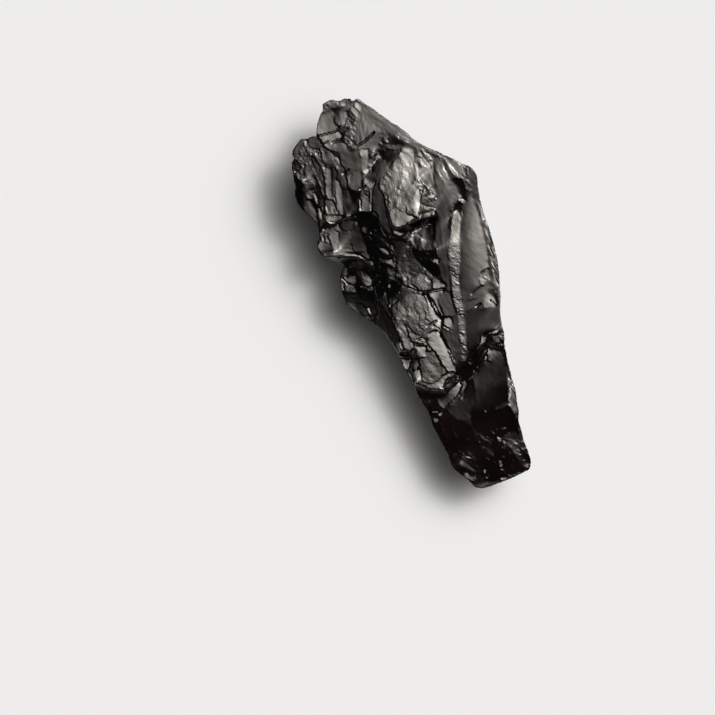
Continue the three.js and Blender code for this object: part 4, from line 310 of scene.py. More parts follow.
 ('L1k',(295,10.5),[('gl',0.05,2)],
  [(309,190),(312.4,188),(313.6,188.8),(310.4,191.4)]),
 ('L1g',(24,7.6),[('st',-75,4,1.6,0.3)],
  [(313.2,194.6),(315.8,192.6),(318.6,199.6),(317.4,205.6),(315,203.4)]),
 ('L1h',(304,1.3),[('ro',0.4,2)],
  [(319,199.6),(324,197.6),(325,205),(322.4,208),(318.6,207.6)]),
 ('L1m',(37,0.9),[('ro',0.3,2.4)],
  [(318.4,221),(323,218),(325,222),(323.4,226.4),(320,230.6),(318.4,226)]),
 ('L2',((325,240,43,7.1),(360,240,348,5.3)),[('ro',0.3,2.6)],
  [(316,252),(316,242),(318.4,233.6),(323,229.4),(331,227.4),(338,224.4),(343,221),(348,218.4),(352.6,217.6),(357,221),(359,228),(363.6,234.4),(365.8,243),(367.6,252),
  (371.4,260),(366,262),(360,259),(354,257.4),(346,257),(338,255.6),(330,256),(324,255)]),
 ('L2g',(30,0.9),[('rib',5,3.4,0.3)],
  [(338,226),(343,221.4),(350,218.8),(355.4,221.4),(353,227),(350,230.4),(343,230)]),
 ('L2a',((330,240,45,6.6),(338,240,55,4.3)),[('gl',0.2,4)],
  [(329.6,233.4),(333.6,230.2),(338.6,231.4),(339.2,240),(338.4,246),(341.4,250.4),(337.6,253),(333.4,249.6),(330.4,243.4),(328.4,238)]),
 ('L2b',((348.2,239.4,306,3.1),(342,241,332,2.1)),[('rib',3,3.3,0.35)],
  [(339,231.6),(349,231.4),(351,240),(350,249.6),(342.4,250.4),(339.4,242)]),
 ('L2c',((352,235,261,4.1),(364,245,324,6.6)),[('gl',0.12,6)],
  [(349.6,231),(353,227),(357.6,224),(360.6,231.4),(364.6,240),(366.6,250),(362.4,252.6),(353.4,251.8),(351,241)]),
 ('L2d',((350,257.2,21,9.7),(350,253.6,355,11.7)),[('gl',0.3,3)],
  [(333.6,250),(338,253),(342,250.8),(350,252.6),(360,254.4),(367,259.4),(371,261),(366,261.6),(360,259),(354,257.4),(346,257),(338,255.6),(334.6,254.4)]),
 ('L2e',((326.9,252.9,114,11.7),(323.5,244.6,46,7.7)),[('rib',2,2.35,0.4)],
  [(319,240.6),(324,243),(329.6,243.6),(333.4,250),(334,255.4),(327,255),(320,253.6),(316.6,247)]),
 ('L2f',(36,6.4),[('cr',0.5,2.6)],
  [(318.6,233.4),(323,231.6),(328,234.4),(328.4,240.6),(323,240.6),(319.4,239)]),
 ('L2s',(38,7.5),[('gl',0.15,2.4)],
  [(320.6,236.4),(323,236),(325,240.6),(324.4,243.4),(321.4,242)]),
 ('U',((345,256,280,52),(350,266,25,8.9)),[('st',-20,4,3,0.3)],
  [(316,253.4),(324,255.2),(332,256.4),(340,256.2),(348,257.4),(354,257.8),(360,259.6),(366,262.4),(369.4,264.6),(374,268),(372,272),(366,270),(361,269.4),(356,269.4),
  (350,268.6),(345,268),(339,266),(316,258)]),
 ('L3',((365.5,291.7,227,11.4),(360.6,309.6,342,3.8)),[('ro',0.5,2.6),('sp',0.015,1.5)],
  [(336,266),(345,266),(350,268.4),(358,269),(366,270.6),(374,277),(375,290),(377,300),(379,312),(386,322),(398,344),(402,357),(380,345),(340,315),
  (334,290)]),
 ('L3a',((341.6,275.2,152,3.3),(345,276.7,27,5.5)),[('gl',0.15,4)],
  [(337,290),(338,276),(342,268),(346,266.4),(348.6,268.4),(347.4,275),(344.4,279),(343.4,284),(344.4,290.4),(340,292)]),
 ('L3b',((354,282,12,2.2),(349.6,277.8,65,3.6)),[('gl',0.15,4)],
  [(344.6,279),(350,275.2),(356,275),(357.4,282),(354,285.4),(349.4,283.4),(346,281.6)]),
 ('L3c',((351.9,290.7,323,4.1),(347.9,285.6,34,3.1)),[('cr',0.7,2.4)],
  [(344,284),(349,283.4),(355,286),(356.4,291),(352,293.4),(346,292.6)]),
 ('L3d',(272,5),[('rib',-8,2.2,0.3)],
  [(345.6,293),(352,294),(358.4,293.6),(360.4,297.4),(356,298.6),(350,297.6)]),
 ('L3e',((358,276,257,3.7),(370,281,20,6.1)),[('st',-60,3,3,0.25)],
  [(355,270),(361,269.6),(366.4,273),(371.4,277),(373,282),(371.6,287),(365,286.4),(361,282.4),(358.6,277)]),
 ('L3x',(228,11.4),[('gl',0.1,3)],
  [(357,284),(360.6,282.4),(364.6,286.6),(370,287.2),(366,289),(361,290.4),(357,290)]),
 ('L3f',(29,5.7),[('cr',0.4,2.4)],
  [(366,288.8),(373.2,286.6),(373.8,290.6),(368,291.4)]),
 ('L3h',((361.3,305.4,254,4.1),(362.5,313.5,314,2.3)),[('ro',0.4,2.4)],
  [(354,302),(362,304),(368,309.4),(371,316),(364,316),(356,309)]),
 ('L3s',(32,10),[('gl',0.2,2)],
  [(366.8,308),(369.6,306.8),(371.2,312.6),(370,315.4),(368,313)]),
 ('L3t',(41,10.4),[('gl',0.1,2)],
  [(377.6,319),(379.4,318.6),(380,320.8),(378.4,321.8),(377.2,320.6)]),
 ('L3w',((394,330,210,36),(386,338,210,42)),[('st',-62,5,3,0.3),('sp',0.02,1.4)],
  [(376,300),(381,303),(385,312),(389.6,318.6),(393,322),(397,331),(400.6,343),(403,352),(400,360),(390,352),(380,335),(374,322),(378,312)]),
 ('R1',((436,250,220,2),(447,250,321,3.4)),[('st',-84,10,2.6,0.16),('gl',0.06,6)],
  [(431.6,160),(437,158),(440,162),(446,173),(452,184),(458,190),(462,199),(456,206),(450,216),(447.6,228),(448,240),(447.6,250),(449,262),(450,275),
  (451,290),(453,300),(456.4,315),(458.6,330),(460.4,345),(461.4,362),(457.4,369.4),(452,362),(446,345),(441,330),(443,320),(440,310),(436,300),(433,292),
  (443,289.6),(446.4,285),(439.4,276),(439,260),(436.4,246),(434.6,236),(435,220),(436.4,205),(435.4,194),(432.4,178),(432.6,170)]),
 ('R1b',((441,172,54,1.4),(452,190,329,7.7)),[('gl',0.15,6)],
  [(437,161.4),(440.4,162.4),(445,170),(448.4,178),(452,184),(458,190),(461,194.6),(457,197.6),(451,195.4),(448,190),(445,182),(440,174.6),(436,168)]),
 ('R2',((446,164,182,3.3),(463,190,265,6.7)),[('gl',0.2,4)],
  [(439.4,157.2),(446,158),(450,165),(456,174),(461,178.4),(464.6,182),(466.6,190),(467.4,198),(464,203.4),(461,198),(458,191),(453,184),(448,176),(444,168)]),
 ('R2b',(253,10.6),[('gl',0.1,3)],
  [(451.4,177.6),(457,178),(462,177),(464.6,184),(467.4,191),(466.6,202),(462.6,200.4),(460.4,190.6),(455,183.4)]),
 ('R3',((450,162,204,0.4),(460,170,80,1.3)),[('gl',0.12,4)],
  [(443.6,156.4),(450,158),(456,160.6),(460.6,164),(464.6,168),(463.6,173),(461,176.4),(458,177.4),(453.8,172),(448.6,165)]),
 ('R3e',(73,2.3),[('gl',0.04,3)],
  [(443.4,156.6),(445,157.2),(449.4,163.8),(454.4,170.6),(458.6,175.4),(461.4,175.4),(460.6,177.2),(458,177.8),(453.8,173),(448.6,165.8)]),
 ('R4',((466,172,223,4),(475,178,299,6.9)),[('ro',0.35,2.4)],
  [(464,163),(471,165.4),(478,172),(480,182),(481,194),(475,191),(470.4,184.4),(466,180.4),(464,175),(466,170)]),
 ('R4s',(204,4.4),[('cr',0.9,1.9)],
  [(461,165),(464.6,164.8),(467.4,169.4),(468.6,174.4),(467.2,178.4),(464.4,176.4),(463.2,171)]),
 ('R4t',(292,8.6),[('cr',0.8,2)],
  [(464.6,180.6),(468,180),(470.4,184.6),(473.4,189),(473.6,195),(471,193),(468.6,188)]),
 ('R5',((456,206,305,17.1),(450,224,222,5)),[('st',-65,4,2.4,0.3)],
  [(455,203.6),(459,199.6),(464,203.6),(461.4,208),(457,214),(453.4,222),(451,230),(448,228),(448.4,219),(450.4,211)]),
 ('R7',((464,240,135,1.1),(485,240,17,7.7)),[('gl',0.07,7),('ro',0.12,1.8)],
  [(461,208),(466,201),(470,194),(472.6,190),(476,198),(482,207),(484.4,218),(486,230),(488,242),(490,256),(491,266),(487,270),(483,276),(480,286),
  (470,291),(461,291),(460,275),(461,262),(461,245),(462,230),(461,216)]),
 ('R7t',(43,6.1),[('gl',0.3,3)],
  [(460,211),(462.4,209.6),(464,215),(463.4,219),(461.4,217)]),
 ('R7e',(239,3.3),[('cr',0.5,2.2)],
  [(471.6,190),(474,193),(475.6,199),(478.4,205),(480.6,212),(482.6,220),(484,226),(482,226),(480,218),(477.4,209),(474,202),(472.6,197)]),
 ('R8',((465,310,354,2.3),(497,310,190,2.5)),[('st',60,5,1.5,0.12),('ro',0.12,2)],
  [(461,290),(470,290.6),(480,285),(484,288.6),(490,290),(502,290),(503,300),(503,315),(506,330),(500,333),(492,331.6),(486,333.4),(481,336.6),(475.4,345),
  (470,356),(466,362),(466,345),(464,330),(464.6,315),(463,300)]),
 ('R8n',((478.4,296.5,339,4),(478.6,288.5,340,6.1)),[('st',35,5,2,0.25)],
  [(472,291),(480,285.6),(486,286),(488,291),(482,296),(474,299),(468,301)]),
 ('R8a',((486.4,272.8,357,7.4),(481.5,281.1,23,9.7)),[('gl',0.25,3)],
  [(479,277),(482,272.4),(487,269),(490.4,275),(490.4,279),(486,280.6),(483,286),(480,283.6)]),
 ('R8as',(26,10.2),[('gl',0.1,2)],
  [(483,275.4),(485,274.6),(487,277),(490.4,278.4),(490,280),(486,279),(483.6,278)]),
 ('R8b',(19,6.9),[('gl',0.2,3)],
  [(488,292.6),(491,293.4),(494,297.4),(496.4,303),(494.4,306.4),(490,307.4),(484,308.4),(483.6,303),(485.4,297.4)]),
 ('R8bi',(23,8.3),[('gl',0.2,3)],
  [(488.6,296),(491,297),(493,300.4),(490,300),(488.6,303),(487,303.6),(487,299.6)]),
 ('R8be',(15,5.2),[('gl',0.1,2)],
  [(485.4,305.4),(489,304),(494,304.6),(494.4,306.6),(490,307.4),(484.6,308.4)]),
 ('R8d',((471.5,332.7,255,2.2),(488.4,315.2,241,2.2)),[('st',60,5,1.5,0.14)],
  [(466,312),(476,308),(488,311),(499,312),(501,322),(494,330),(484,333),(474,342),(468,350),(467,338),(465,325)]),
 ('R9k',((487,252.6,315,9),(489.1,252.1,328,8.1)),[('ro',0.6,2)],
  [(480.4,214),(482.6,221),(485.4,231),(487.8,243),(490.4,256),(492.4,266),(494,277),(490.6,274),(489,266),(488,257),(486,244),(483.4,232),(480.6,222)]),
 ('R9',((490.4,255.1,35,12),(495,253.7,35,12)),[('rib',-62,4.4,1.7)],
  [(483,221),(487,219),(492,228),(496,244),(499,258),(502,272),(502,288),(498.6,288),(495.4,281),(492.8,269),(490.8,257),(488.2,243),(485.6,231)]),
 ('R10',((495.2,294.7,225,1.9),(499.3,292.1,17,5.5)),[('cr',0.8,2.2)],
  [(492.8,279),(495.6,283),(498.6,288.6),(503,290),(503,303),(499,305),(496,299),(494,291)]),
 ('R6',((452,270,35,12),(461,270,35,12)),[('ro',0.6,2.2),('cr',0.7,2.2),('sp',0.3,2.6)],
  [(451,223),(453,214),(456,210.6),(459.4,212),(461,218),(460,228),(459.2,240),(459.4,252),(460,262),(458.8,272),(459.4,282),(459.8,292),(462.2,300),(463.6,312),
  (464.2,325),(464.6,335),(466.6,345),(466.4,355),(465.4,364),(461.6,365),(461,350),(458.6,338),(458.6,325),(456.6,310),(453.6,303),(452,290),(451,280),(449.8,268),
  (447.8,256),(448.6,246),(450.6,235)]),
 ('R6b',(35,12),[('ro',0.9,1.8),('sp',0.28,2.4)],
  [(458.8,334),(462,333),(465,340),(466.6,347),(466,352),(463,348),(460.4,341)]),
 ('R6c',((449.7,243.5,328,1.5),(455.4,242.1,28,8.6)),[('ro',0.7,2),('sp',0.25,2.4)],
  [(449,239),(453,236.6),(457.6,239),(457.6,246),(452,247),(448.4,250.4),(450.6,262),(449,262),(447.4,254)]),
 ('M1',(44,8.6),[('gl',0.15,4)],
  [(383,292),(386.6,295.6),(389.6,303.4),(398,299),(401,303),(397,310),(393.4,318.6),(390.6,314),(388.4,308),(386,300)]),
 ('M1e',(85,5.5),[('gl',0.05,3)],
  [(382.6,291.6),(384.6,291.6),(387.6,297),(389.4,304.4),(387.6,305),(385.4,298)]),
 ('M2',((402,310,305,1.4),(432,340,35,12)),[('fl',-60,5,1.7,0.5),('cr',0.5,2.2),('ro',0.4,2.4)],
  [(392,317.6),(390.6,306),(396,302),(404,296),(412,292),(424,293.4),(428,298),(431,306),(434,313),(438,320),(439,326.6),(435,330),(438.4,337),(442.4,345),
  (447,354),(451,363),(454,370.4),(457,375),(452,377.6),(447,378.6),(444,383),(441,388),(436,389.4),(428,389),(420,385.4),(415,380),(412.4,374),(409,370),
  (406,366),(402,357),(398,345),(400,335),(396,323)]),
 ('M2a',((403.2,317.1,44,2.9),(420,303.1,39,6.7)),[('ro',0.6,2.2),('cr',0.6,2.2),('sp',0.03,1.4)],
  [(393,316),(391,307),(397,303),(404,297),(412,292.6),(422,293.6),(426,299),(428,306),(424,312),(420,320),(418,326),(424,330),(420,336),(412,332),
  (406,322),(398,321)]),
 ('M2v',((425.4,320.5,359,6.3),(421.2,318.9,35,12)),[('cr',0.8,2.4)],
  [(418.6,322),(421,314),(425,311),(426,318),(428,322),(424,326),(420,326)]),
 ('M2b',((428,304,35,12),(433,306,35,12)),[('gl',0.2,3)],
  [(423.6,293.4),(426.4,294.8),(430.4,302),(433.6,308),(437,314.6),(440.6,320),(441.4,324),(438.6,328.4),(436,324),(433,317),(429.6,308.6),(426.4,300)]),
 ('M2r',((426,340,19,6.5),(443,350,19,8.3)),[('st',-30,4,1.5,0.3),('gl',0.1,4)],
  [(426,334),(435,330.4),(438.4,337),(442.4,345),(447,354),(451,363),(454,371),(448,373),(443,366),(438,356),(433,350),(428,345)]),
 ('M2c',((441,345,35,12),(448,352,35,12)),[('gl',0.15,3)],
  [(436,329.4),(439.4,331.4),(443.4,339.6),(447.4,347.4),(451,356),(454,364),(457.4,372.4),(454,372.6),(450.4,366),(446.6,358),(442.6,349),(438.8,339.4)]),
 ('M2e',(24,5.7),[('ro',0.4,2.2),('fl',-40,4,1.6,0.5)],
  [(415,356),(426,351),(434,351),(439,359),(442,368),(442,376),(440,381),(430,384.6),(421,381),(418,372)]),
 ('M2f',((436.4,381,26,5),(439.9,384.8,38,7.6)),[('gl',0.3,3.4)],
  [(423,384.6),(431,383.6),(438,380.6),(443,375.4),(448,372.6),(452,374.6),(447,378.6),(444,383),(441,388),(436,389.4),(428,388.8)]),
 ('M2g',((400,328,10,5),(410,345,25,8.7)),[('st',-72,5,2.6,0.5)],
  [(395.6,322.6),(399,320),(405,321),(407,330),(410,339),(414.6,346),(413.6,350.4),(405,351.6),(401.4,343),(398.6,333)]),
 ('M2gs',(35,12),[('st',-70,4,2,0.3)],
  [(402.6,333.6),(404.6,333.6),(404.6,340),(403,342.4),(402,338)]),
 ('M2h',((418.8,353.9,26,7.9),(423.4,349.4,32,9.8)),[('cr',0.4,3)],
  [(416,346.4),(421,345.6),(426.4,346),(425.4,357),(418.4,358.4),(415.2,352.4)]),
 ('M2i',((403.7,357.6,253,12.6),(412.1,351.8,333,4.1)),[('ro',0.4,2)],
  [(399,352.6),(404,351.6),(410,350.6),(415.4,349),(415.2,355),(413.6,358.4),(407,358.6),(400.4,357.6),(398,355)]),
 ('M2is',(35,12),[('gl',0.1,2)],
  [(403.6,352.4),(406,352),(406.4,354.4),(404.4,355)]),
 ('M2j',(308,4.6),[('ro',0.3,2)],
  [(415,342),(418,343.6),(421,343),(425,344.4),(424,346),(419,346.4),(416,346)]),
 ('M2j2',(261,8.3),[('ro',0.3,2)],
  [(424.4,339),(427,337.4),(429.4,336.6),(428.4,340),(426.4,342.6),(425.2,341.4)]),
 ('M2k',((405.6,360.6,28,4),(407.4,367.6,35,12)),[('cr',0.4,3)],
  [(397,357),(407,358.8),(413,358.8),(410.4,365),(409,371),(407,373),(400,366)]),
 ('M2l',((413.1,363.3,207,3.7),(416.8,365.9,31,5.9)),[('gl',0.2,4)],
  [(410.4,363),(414,359.4),(418.4,358.6),(420,366),(414,370.6),(410.8,369)]),
 ('M2m',((415.9,377.4,53,6.3),(419.7,374.5,35,12)),[('cr',0.5,3)],
  [(412,372),(416,370),(420.6,369),(422,377),(421,384.6),(416,381.4),(413.4,376)]),
 ('M3',(20,31),[('gl',0.05,4)],
  [(426.6,293),(429,294),(432.4,299),(435.4,306),(439,313),(443,318),(443.6,321.6),(441,320.6),(437.2,314.4),(433.8,307.8),(430.6,301.6)]),
 ('M4',(25,8.2),[('gl',0.1,3)],
  [(432,295),(436,292),(442,289.8),(444,291),(438.4,295),(437.6,299),(439,306),(442.4,313),(443.6,317),(441.4,317),(438,310.6),(434.8,303)]),
 ('M5',((441,300,349,2.4),(451,310,1,2.4)),[('rib',35,3.6,0.16),('gl',0.1,4)],
  [(438,298),(441,294),(444.4,290.6),(450,291.4),(452.4,300),(455,310),(454,316),(448,317.4),(444,316),(441,308)]),
 ('M6',((450.3,323.1,25,7.9),(445.6,321.6,36,6.8)),[('gl',0.2,3)],
  [(443.6,320),(446,317.8),(449.4,316.8),(452.4,320),(452.4,325),(450,329.2),(446,326.4),(443,324)]),
 ('M6b',(35,12),[('gl',0.1,3)],
  [(442,325.6),(446,327),(450,329.4),(454,331.4),(452,332),(447,330),(442.6,327.6)]),
 ('M7',(20,33),[('gl',0.05,4)],
  [(439.6,329.6),(443.8,337.6),(447.8,345.6),(451.8,355),(455,363),(458.4,371),(457.2,372),(453.8,364.4),(450.6,356.4),(447,348),(443,340),(439.2,332)]),
 ('N0',((470,362,235,40),(476,372,235,4.1)),[('st',50,5,3,0.4),('sp',0.05,1.8)],
  [(457,373),(462,366),(467,361.6),(471,355.6),(476,348),(481,342),(486,338),(492,335.6),(500,334.6),(506,336),(506,347),(500,350),(493,348.4),(489,353),
  (486,359),(481,367),(475,373),(468,379),(462,381.6),(457,380)]),
 ('N0b',(167,13.4),[('ro',0.4,3),('sp',0.08,1.8)],
  [(461,372),(467,366),(474,361),(480,352),(486,345),(490,347),(486,357),(480,366),(474,372),(467,377.6),(461,380)]),
 ('N1',(19,9.1),[('cr',0.4,2.6)],
  [(480.6,337.4),(485,335.4),(488,336.4),(486.4,341),(482,346),(477,352),(476.4,350),(480,344)]),
 ('N2',(60,9.7),[('cr',0.5,2.4)],
  [(484,333.6),(490,332),(496,329.6),(500,331),(498,334),(490,334.8),(485,336)]),
 ('N3',(357,17.9),[('cr',0.8,1.9)],
  [(492.4,341),(497,336.6),(500,338),(501.6,343),(499,346.4),(497,343.6),(493,343.4)]),
 ('N4',(298,10.6),[('st',60,4,2.4,0.3)],
  [(478.6,353),(483,347),(486,347),(485,354),(481.4,361),(478.4,364),(477.6,359)]),
 ('N5',(219,1),[('cr',0.7,2)],
  [(500,344),(506,342),(508,352),(505,357),(502,350)]),
 ('P3',((482,372,86,2.5),(506,392,182,9.8)),[('st',60,6,1.8,0.1),('gl',0.06,6)],
  [(472,378.6),(480,370),(487,361),(493,357.6),(500,352),(505.6,356),(507.6,365),(508.6,380),(508.8,395),(508.6,402.6),(500,406.4),(492,409.6),(484,410),(477.4,406),
  (474.8,395),(472.4,385)]),
 ('P1',(35,12),[('gl',0.1,3)],
  [(467.6,379.4),(472.6,375.6),(479.6,368.6),(485.6,359.6),(488.6,352.6),(489.6,353.8),(487,360.4),(481,369.6),(473.4,377.6),(468.4,381)]),
 ('P2',(67,5.9),[('gl',0.25,3)],
  [(488.6,349.4),(494,348.8),(500.4,350.4),(504.6,354),(500,353.6),(495,358),(490.4,361.6),(486.6,360),(488,354)]),
 ('P4',((458,412,154,1.8),(473,395,170,4.7)),[('rib',22,3.0,0.2),('gl',0.1,5)],
  [(464,387),(472.6,379.6),(474.4,390),(476.4,400),(472.4,408),(471.4,419),(466,420),(460,421),(455,418),(449,414),(446.6,409.6),(455,405.6),(463,400.6),(466.6,395)]),
 ('P5',((442,402,35,12),(456,390,35,12)),[('gl',0.35,3.4),('ro',0.3,2)],
  [(437,401.4),(440,397.4),(444.4,396),(450,390),(456,385),(459.4,380.6),(462.4,384),(460.4,390),(456,397),(451,400.6),(446.4,405.4),(443,409),(439.6,405.4)]),
 ('P5b',((461.8,396.4,137,4.8),(457.8,393,50,4.7)),[('ro',1.0,2.0)],
  [(460,382),(466.6,380),(467.6,386),(464,392),(467,396),(462,401),(455,405.4),(449,406),(451.4,401),(456.4,397.4),(460.8,390.4),(462.6,384.6)]),
 ('P5s',(60,5.6),[('gl',0.1,2)],
  [(459.6,398.6),(462,395.8),(464.6,396.6),(463,399.6),(460.6,400)]),
 ('P6',((432,388,270,48),(430,400,215,3.9)),[('ro',0.35,2.4),('sp',0.03,1.4)],
  [(411,382),(415.4,380.6),(420,385.8),(428,389.2),(436,389.8),(441,388.4),(446.6,389.6),(446,392.6),(441.4,396.6),(437,401.4),(439.6,405.8),(443.4,409.4),(444.6,411),(440,413.4),
  (432,410),(426,408),(419,402),(413,392)]),
 ('P6b',((454.5,382.8,306,15.5),(446,383.9,350,15.4)),[('cr',0.9,2.2),('sp',0.1,1.4)],
  [(444.6,382),(448,378.6),(452.4,377.2),(457,378.4),(459,381),(453,386.4),(447.4,390),(442,388.4)]),
 ('P7a',(35,12),[('cr',0.3,2)],
  [(430.4,412.4),(434,410.8),(438.6,410.4),(438.4,412.6),(433,413.6)]),
 ('P7b',(35,12),[('cr',0.3,2)],
  [(437.4,415),(440.6,412.6),(444,411.6),(442,415),(439.4,417)]),
 ('P7c',(26,5.1),[('gl',0.3,2)],
  [(432.6,420.4),(435.6,417),(439.4,419.4),(437.6,423.6),(434.6,424.4)]),
 ('P8',((480,418,237,11.7),(500,428,260,13.1)),[('st',40,6,2,0.12),('sp',0.02,1.8)],
  [(471.4,413),(480,411),(486,410.4),(494,409.6),(500,406.8),(508.6,403.4),(512.4,410),(517,418),(519,424),(516,430),(509,433),(500,437),(492,438),(484,437.6),
  (480,433.4),(474,430),(470.6,420)]),
 ('P8e',(130,2.2),[('gl',0.1,3)],
  [(495,408),(500,405.6),(507,402.4),(509.4,404.4),(505,406.2),(499.4,408.4),(496,410)]),
 ('P9',(195,11.5),[('ro',0.9,2.1),('cr',0.8,2),('sp',0.11,2.2)],
  [(479,433),(484,436.6),(492,437.4),(500,437.4),(506,439.4),(512.6,439.6),(509,444.4),(505.6,449.4),(500,447.4),(494,444.6),(488,442.6),(483,440.6),(478,437.4)]),
 ('P9s',(46,2.6),[('gl',0.2,2)],
  [(504,442),(508,441),(512.6,439.8),(511,442),(507,443.4),(505.6,448.6),(503,449),(504.6,445)]),
 ('P9t',(294,1.2),[('ro',0.5,2)],
  [(478.6,433.4),(481.4,433),(483.6,436.6),(488,439.6),(494.6,437.4),(494,440),(488.4,442),(483,440),(480.4,437)]),
 ('P10',(342,2),[('gl',0.1,3)],
  [(504,436.4),(507,433),(510.4,430.6),(511.4,432.6),(507.4,436),(505,437)]),
 ('P11',((445,430,231,11.5),(462,436,236,11.7)),[('st',-60,6,2.4,0.14),('sp',0.012,1.4)],
  [(428,420),(434,424.4),(440,420.4),(446,417.6),(455,419.4),(463,423),(470,425),(473.6,432),(477,440),(472,446),(462,449),(453,452),(446,452),(438,441)]),
 ('P11s',(260,4.7),[('st',-66,6,2,0.3)],
  [(440,421),(443.6,424),(446.4,431),(448.4,437),(446,438.6),(443,432),(440.6,427)]),
 ('P11t',(258,2.8),[('st',-66,6,2,0.3)],
  [(452,425),(455,427),(457,434),(459,438),(456,438),(453,431)]),
 ('P12',((484,448,233,7.4),(508,466,274,14.6)),[('st',40,6,2,0.15),('sp',0.04,1.9)],
  [(476,442.4),(483,441),(490,443.4),(496,446.4),(501,448.6),(506,450),(510,447.4),(514,452.4),(519,460.6),(522,467),(521.6,472),(512,476.4),(502,479.6),(492,482),
  (486,481),(481,474),(478.6,464),(476,452)]),
 ('P12a',(290,1.8),[('gl',0.25,3)],
  [(486,448),(491,449),(495,453),(494,457),(490,455),(487,452)]),
 ('P12b',(246,12.1),[('gl',0.1,4),('sp',0.09,1.8)],
  [(484,456),(490,458),(495,462),(497,470),(490,474),(485,468),(483,461)]),
 ('P13',((456,462,159,10.3),(474,458,277,6.2)),[('st',-40,5,2.2,0.45),('sp',0.03,1.5)],
  [(447,453),(453,452),(462,450.4),(471,452),(476.6,458),(479,466),(480,473),(477,477),(469,473),(460,468.6),(451,464)]),
 ('P13s',(340,5.9),[('st',-40,6,1.8,0.25)],
  [(459.4,463.6),(462,460.6),(466,462.4),(472,467),(477.6,471.6),(475,473.6),(469,470.6),(463,467)]),
 ('P13b',((458,470,240,30),(466,476,35,12)),[('st',-40,5,2.4,0.3)],
  [(448,463),(453,465),(460,469),(469,473.6),(472,477),(471,484),(476,490),(464,480),(452,472)]),
 ('P14a',(24,4.3),[('cr',0.9,2)],
  [(470.4,479),(473.6,476.8),(474.4,473.8),(476.4,474.4),(476.8,479),(474,482.6),(471.4,482)]),
 ('P14b',(31,9),[('gl',0.2,2)],
  [(483.4,471.4),(484.6,468.8),(487,469.8),(486,474),(484,474.6)]),
 ('P14c',(35,12),[('cr',0.6,2)],
  [(499.6,461),(501.6,460.4),(503,464.4),(501.6,468),(499.6,467.4)]),
 ('P14d',(304,10.9),[('gl',0.2,2)],
  [(503.4,470.4),(506,471.6),(507.4,473),(505,473)]),
 ('P15',((516,452,290,5.6),(527,456,306,11.2)),[('ro',0.5,2.4),('st',-60,5,2.4,0.3),('sp',0.09,2.2)],
  [(506,444),(511,441),(516,439.6),(521,437.6),(526,442),(532,452),(534,462),(532,470),(526,471),(522.6,467),(519.4,460),(514.4,452),(510.4,447)]),
 ('P15s',(321,6.3),[('gl',0.2,3)],
  [(509.6,443.8),(512,445),(516.6,451.6),(520,457),(523.6,464.4),(526.6,470),(524,469.6),(521,463.4),(516.6,455.8),(512.6,449.4)]),
 ('P15t',(348,8.5),[('cr',0.6,2.4)],
  [(521.4,462),(525,461),(528.6,463.6),(529.6,468.4),(525,470.4)]),
 ('P15k',(295,12.6),[('gl',0.1,3)],
  [(521.6,455),(525,453.4),(530.4,457),(531.4,463),(527,461),(523,459)]),
 ('P16',((485,484,124,5.5),(520,474,137,10)),[('st',22,6,2,0.6)],
  [(472.6,489),(475.6,486),(479.6,483.4),(485,481),(488.6,482.8),(494,482),(501.6,479.2),(512,475.2),(522,471.8),(532,468.4),(532,472),(512,482),(490,491),(478,492)]),
 ('P16s',(35,12),[('gl',0.08,3)],
  [(500,479.6),(512,475),(522,471.6),(529,469.4),(529.4,470.6),(522.6,473),(512.6,476.8),(502,481)]),
 ('P17',(242,10.1),[('cr',0.7,2.4)],
  [(511.6,408),(519,416),(522,426),(526,440),(522,441),(517,438),(516,430),(518,424)]),
 ('P17s',(312,5.5),[('gl',0.1,2)],
  [(518.6,427.4),(520.8,428),(522,434),(523,440),(521,440),(519.4,433)]),
 ('P18k',(328,8.1),[('ro',0.2,2.4)],
  [(506.4,362),(508.4,371),(509,381),(509.8,392),(510.6,400),(513,408),(510,405),(508.6,398),(507.8,384),(506.6,372)]),
 ('P18',(35,12),[('rib',-60,4.6,1.5)],
  [(509,378),(512,377),(518,388),(521,410),(521,421),(518,420),(514.6,413),(511.4,404),(510.2,395),(509.2,386)]),
 ('P19',(228,11.4),[('cr',0.6,2)],
  [(505,352),(509,351),(511,358),(514,370),(515,380),(510,380),(507.8,368),(506,360)]),
]
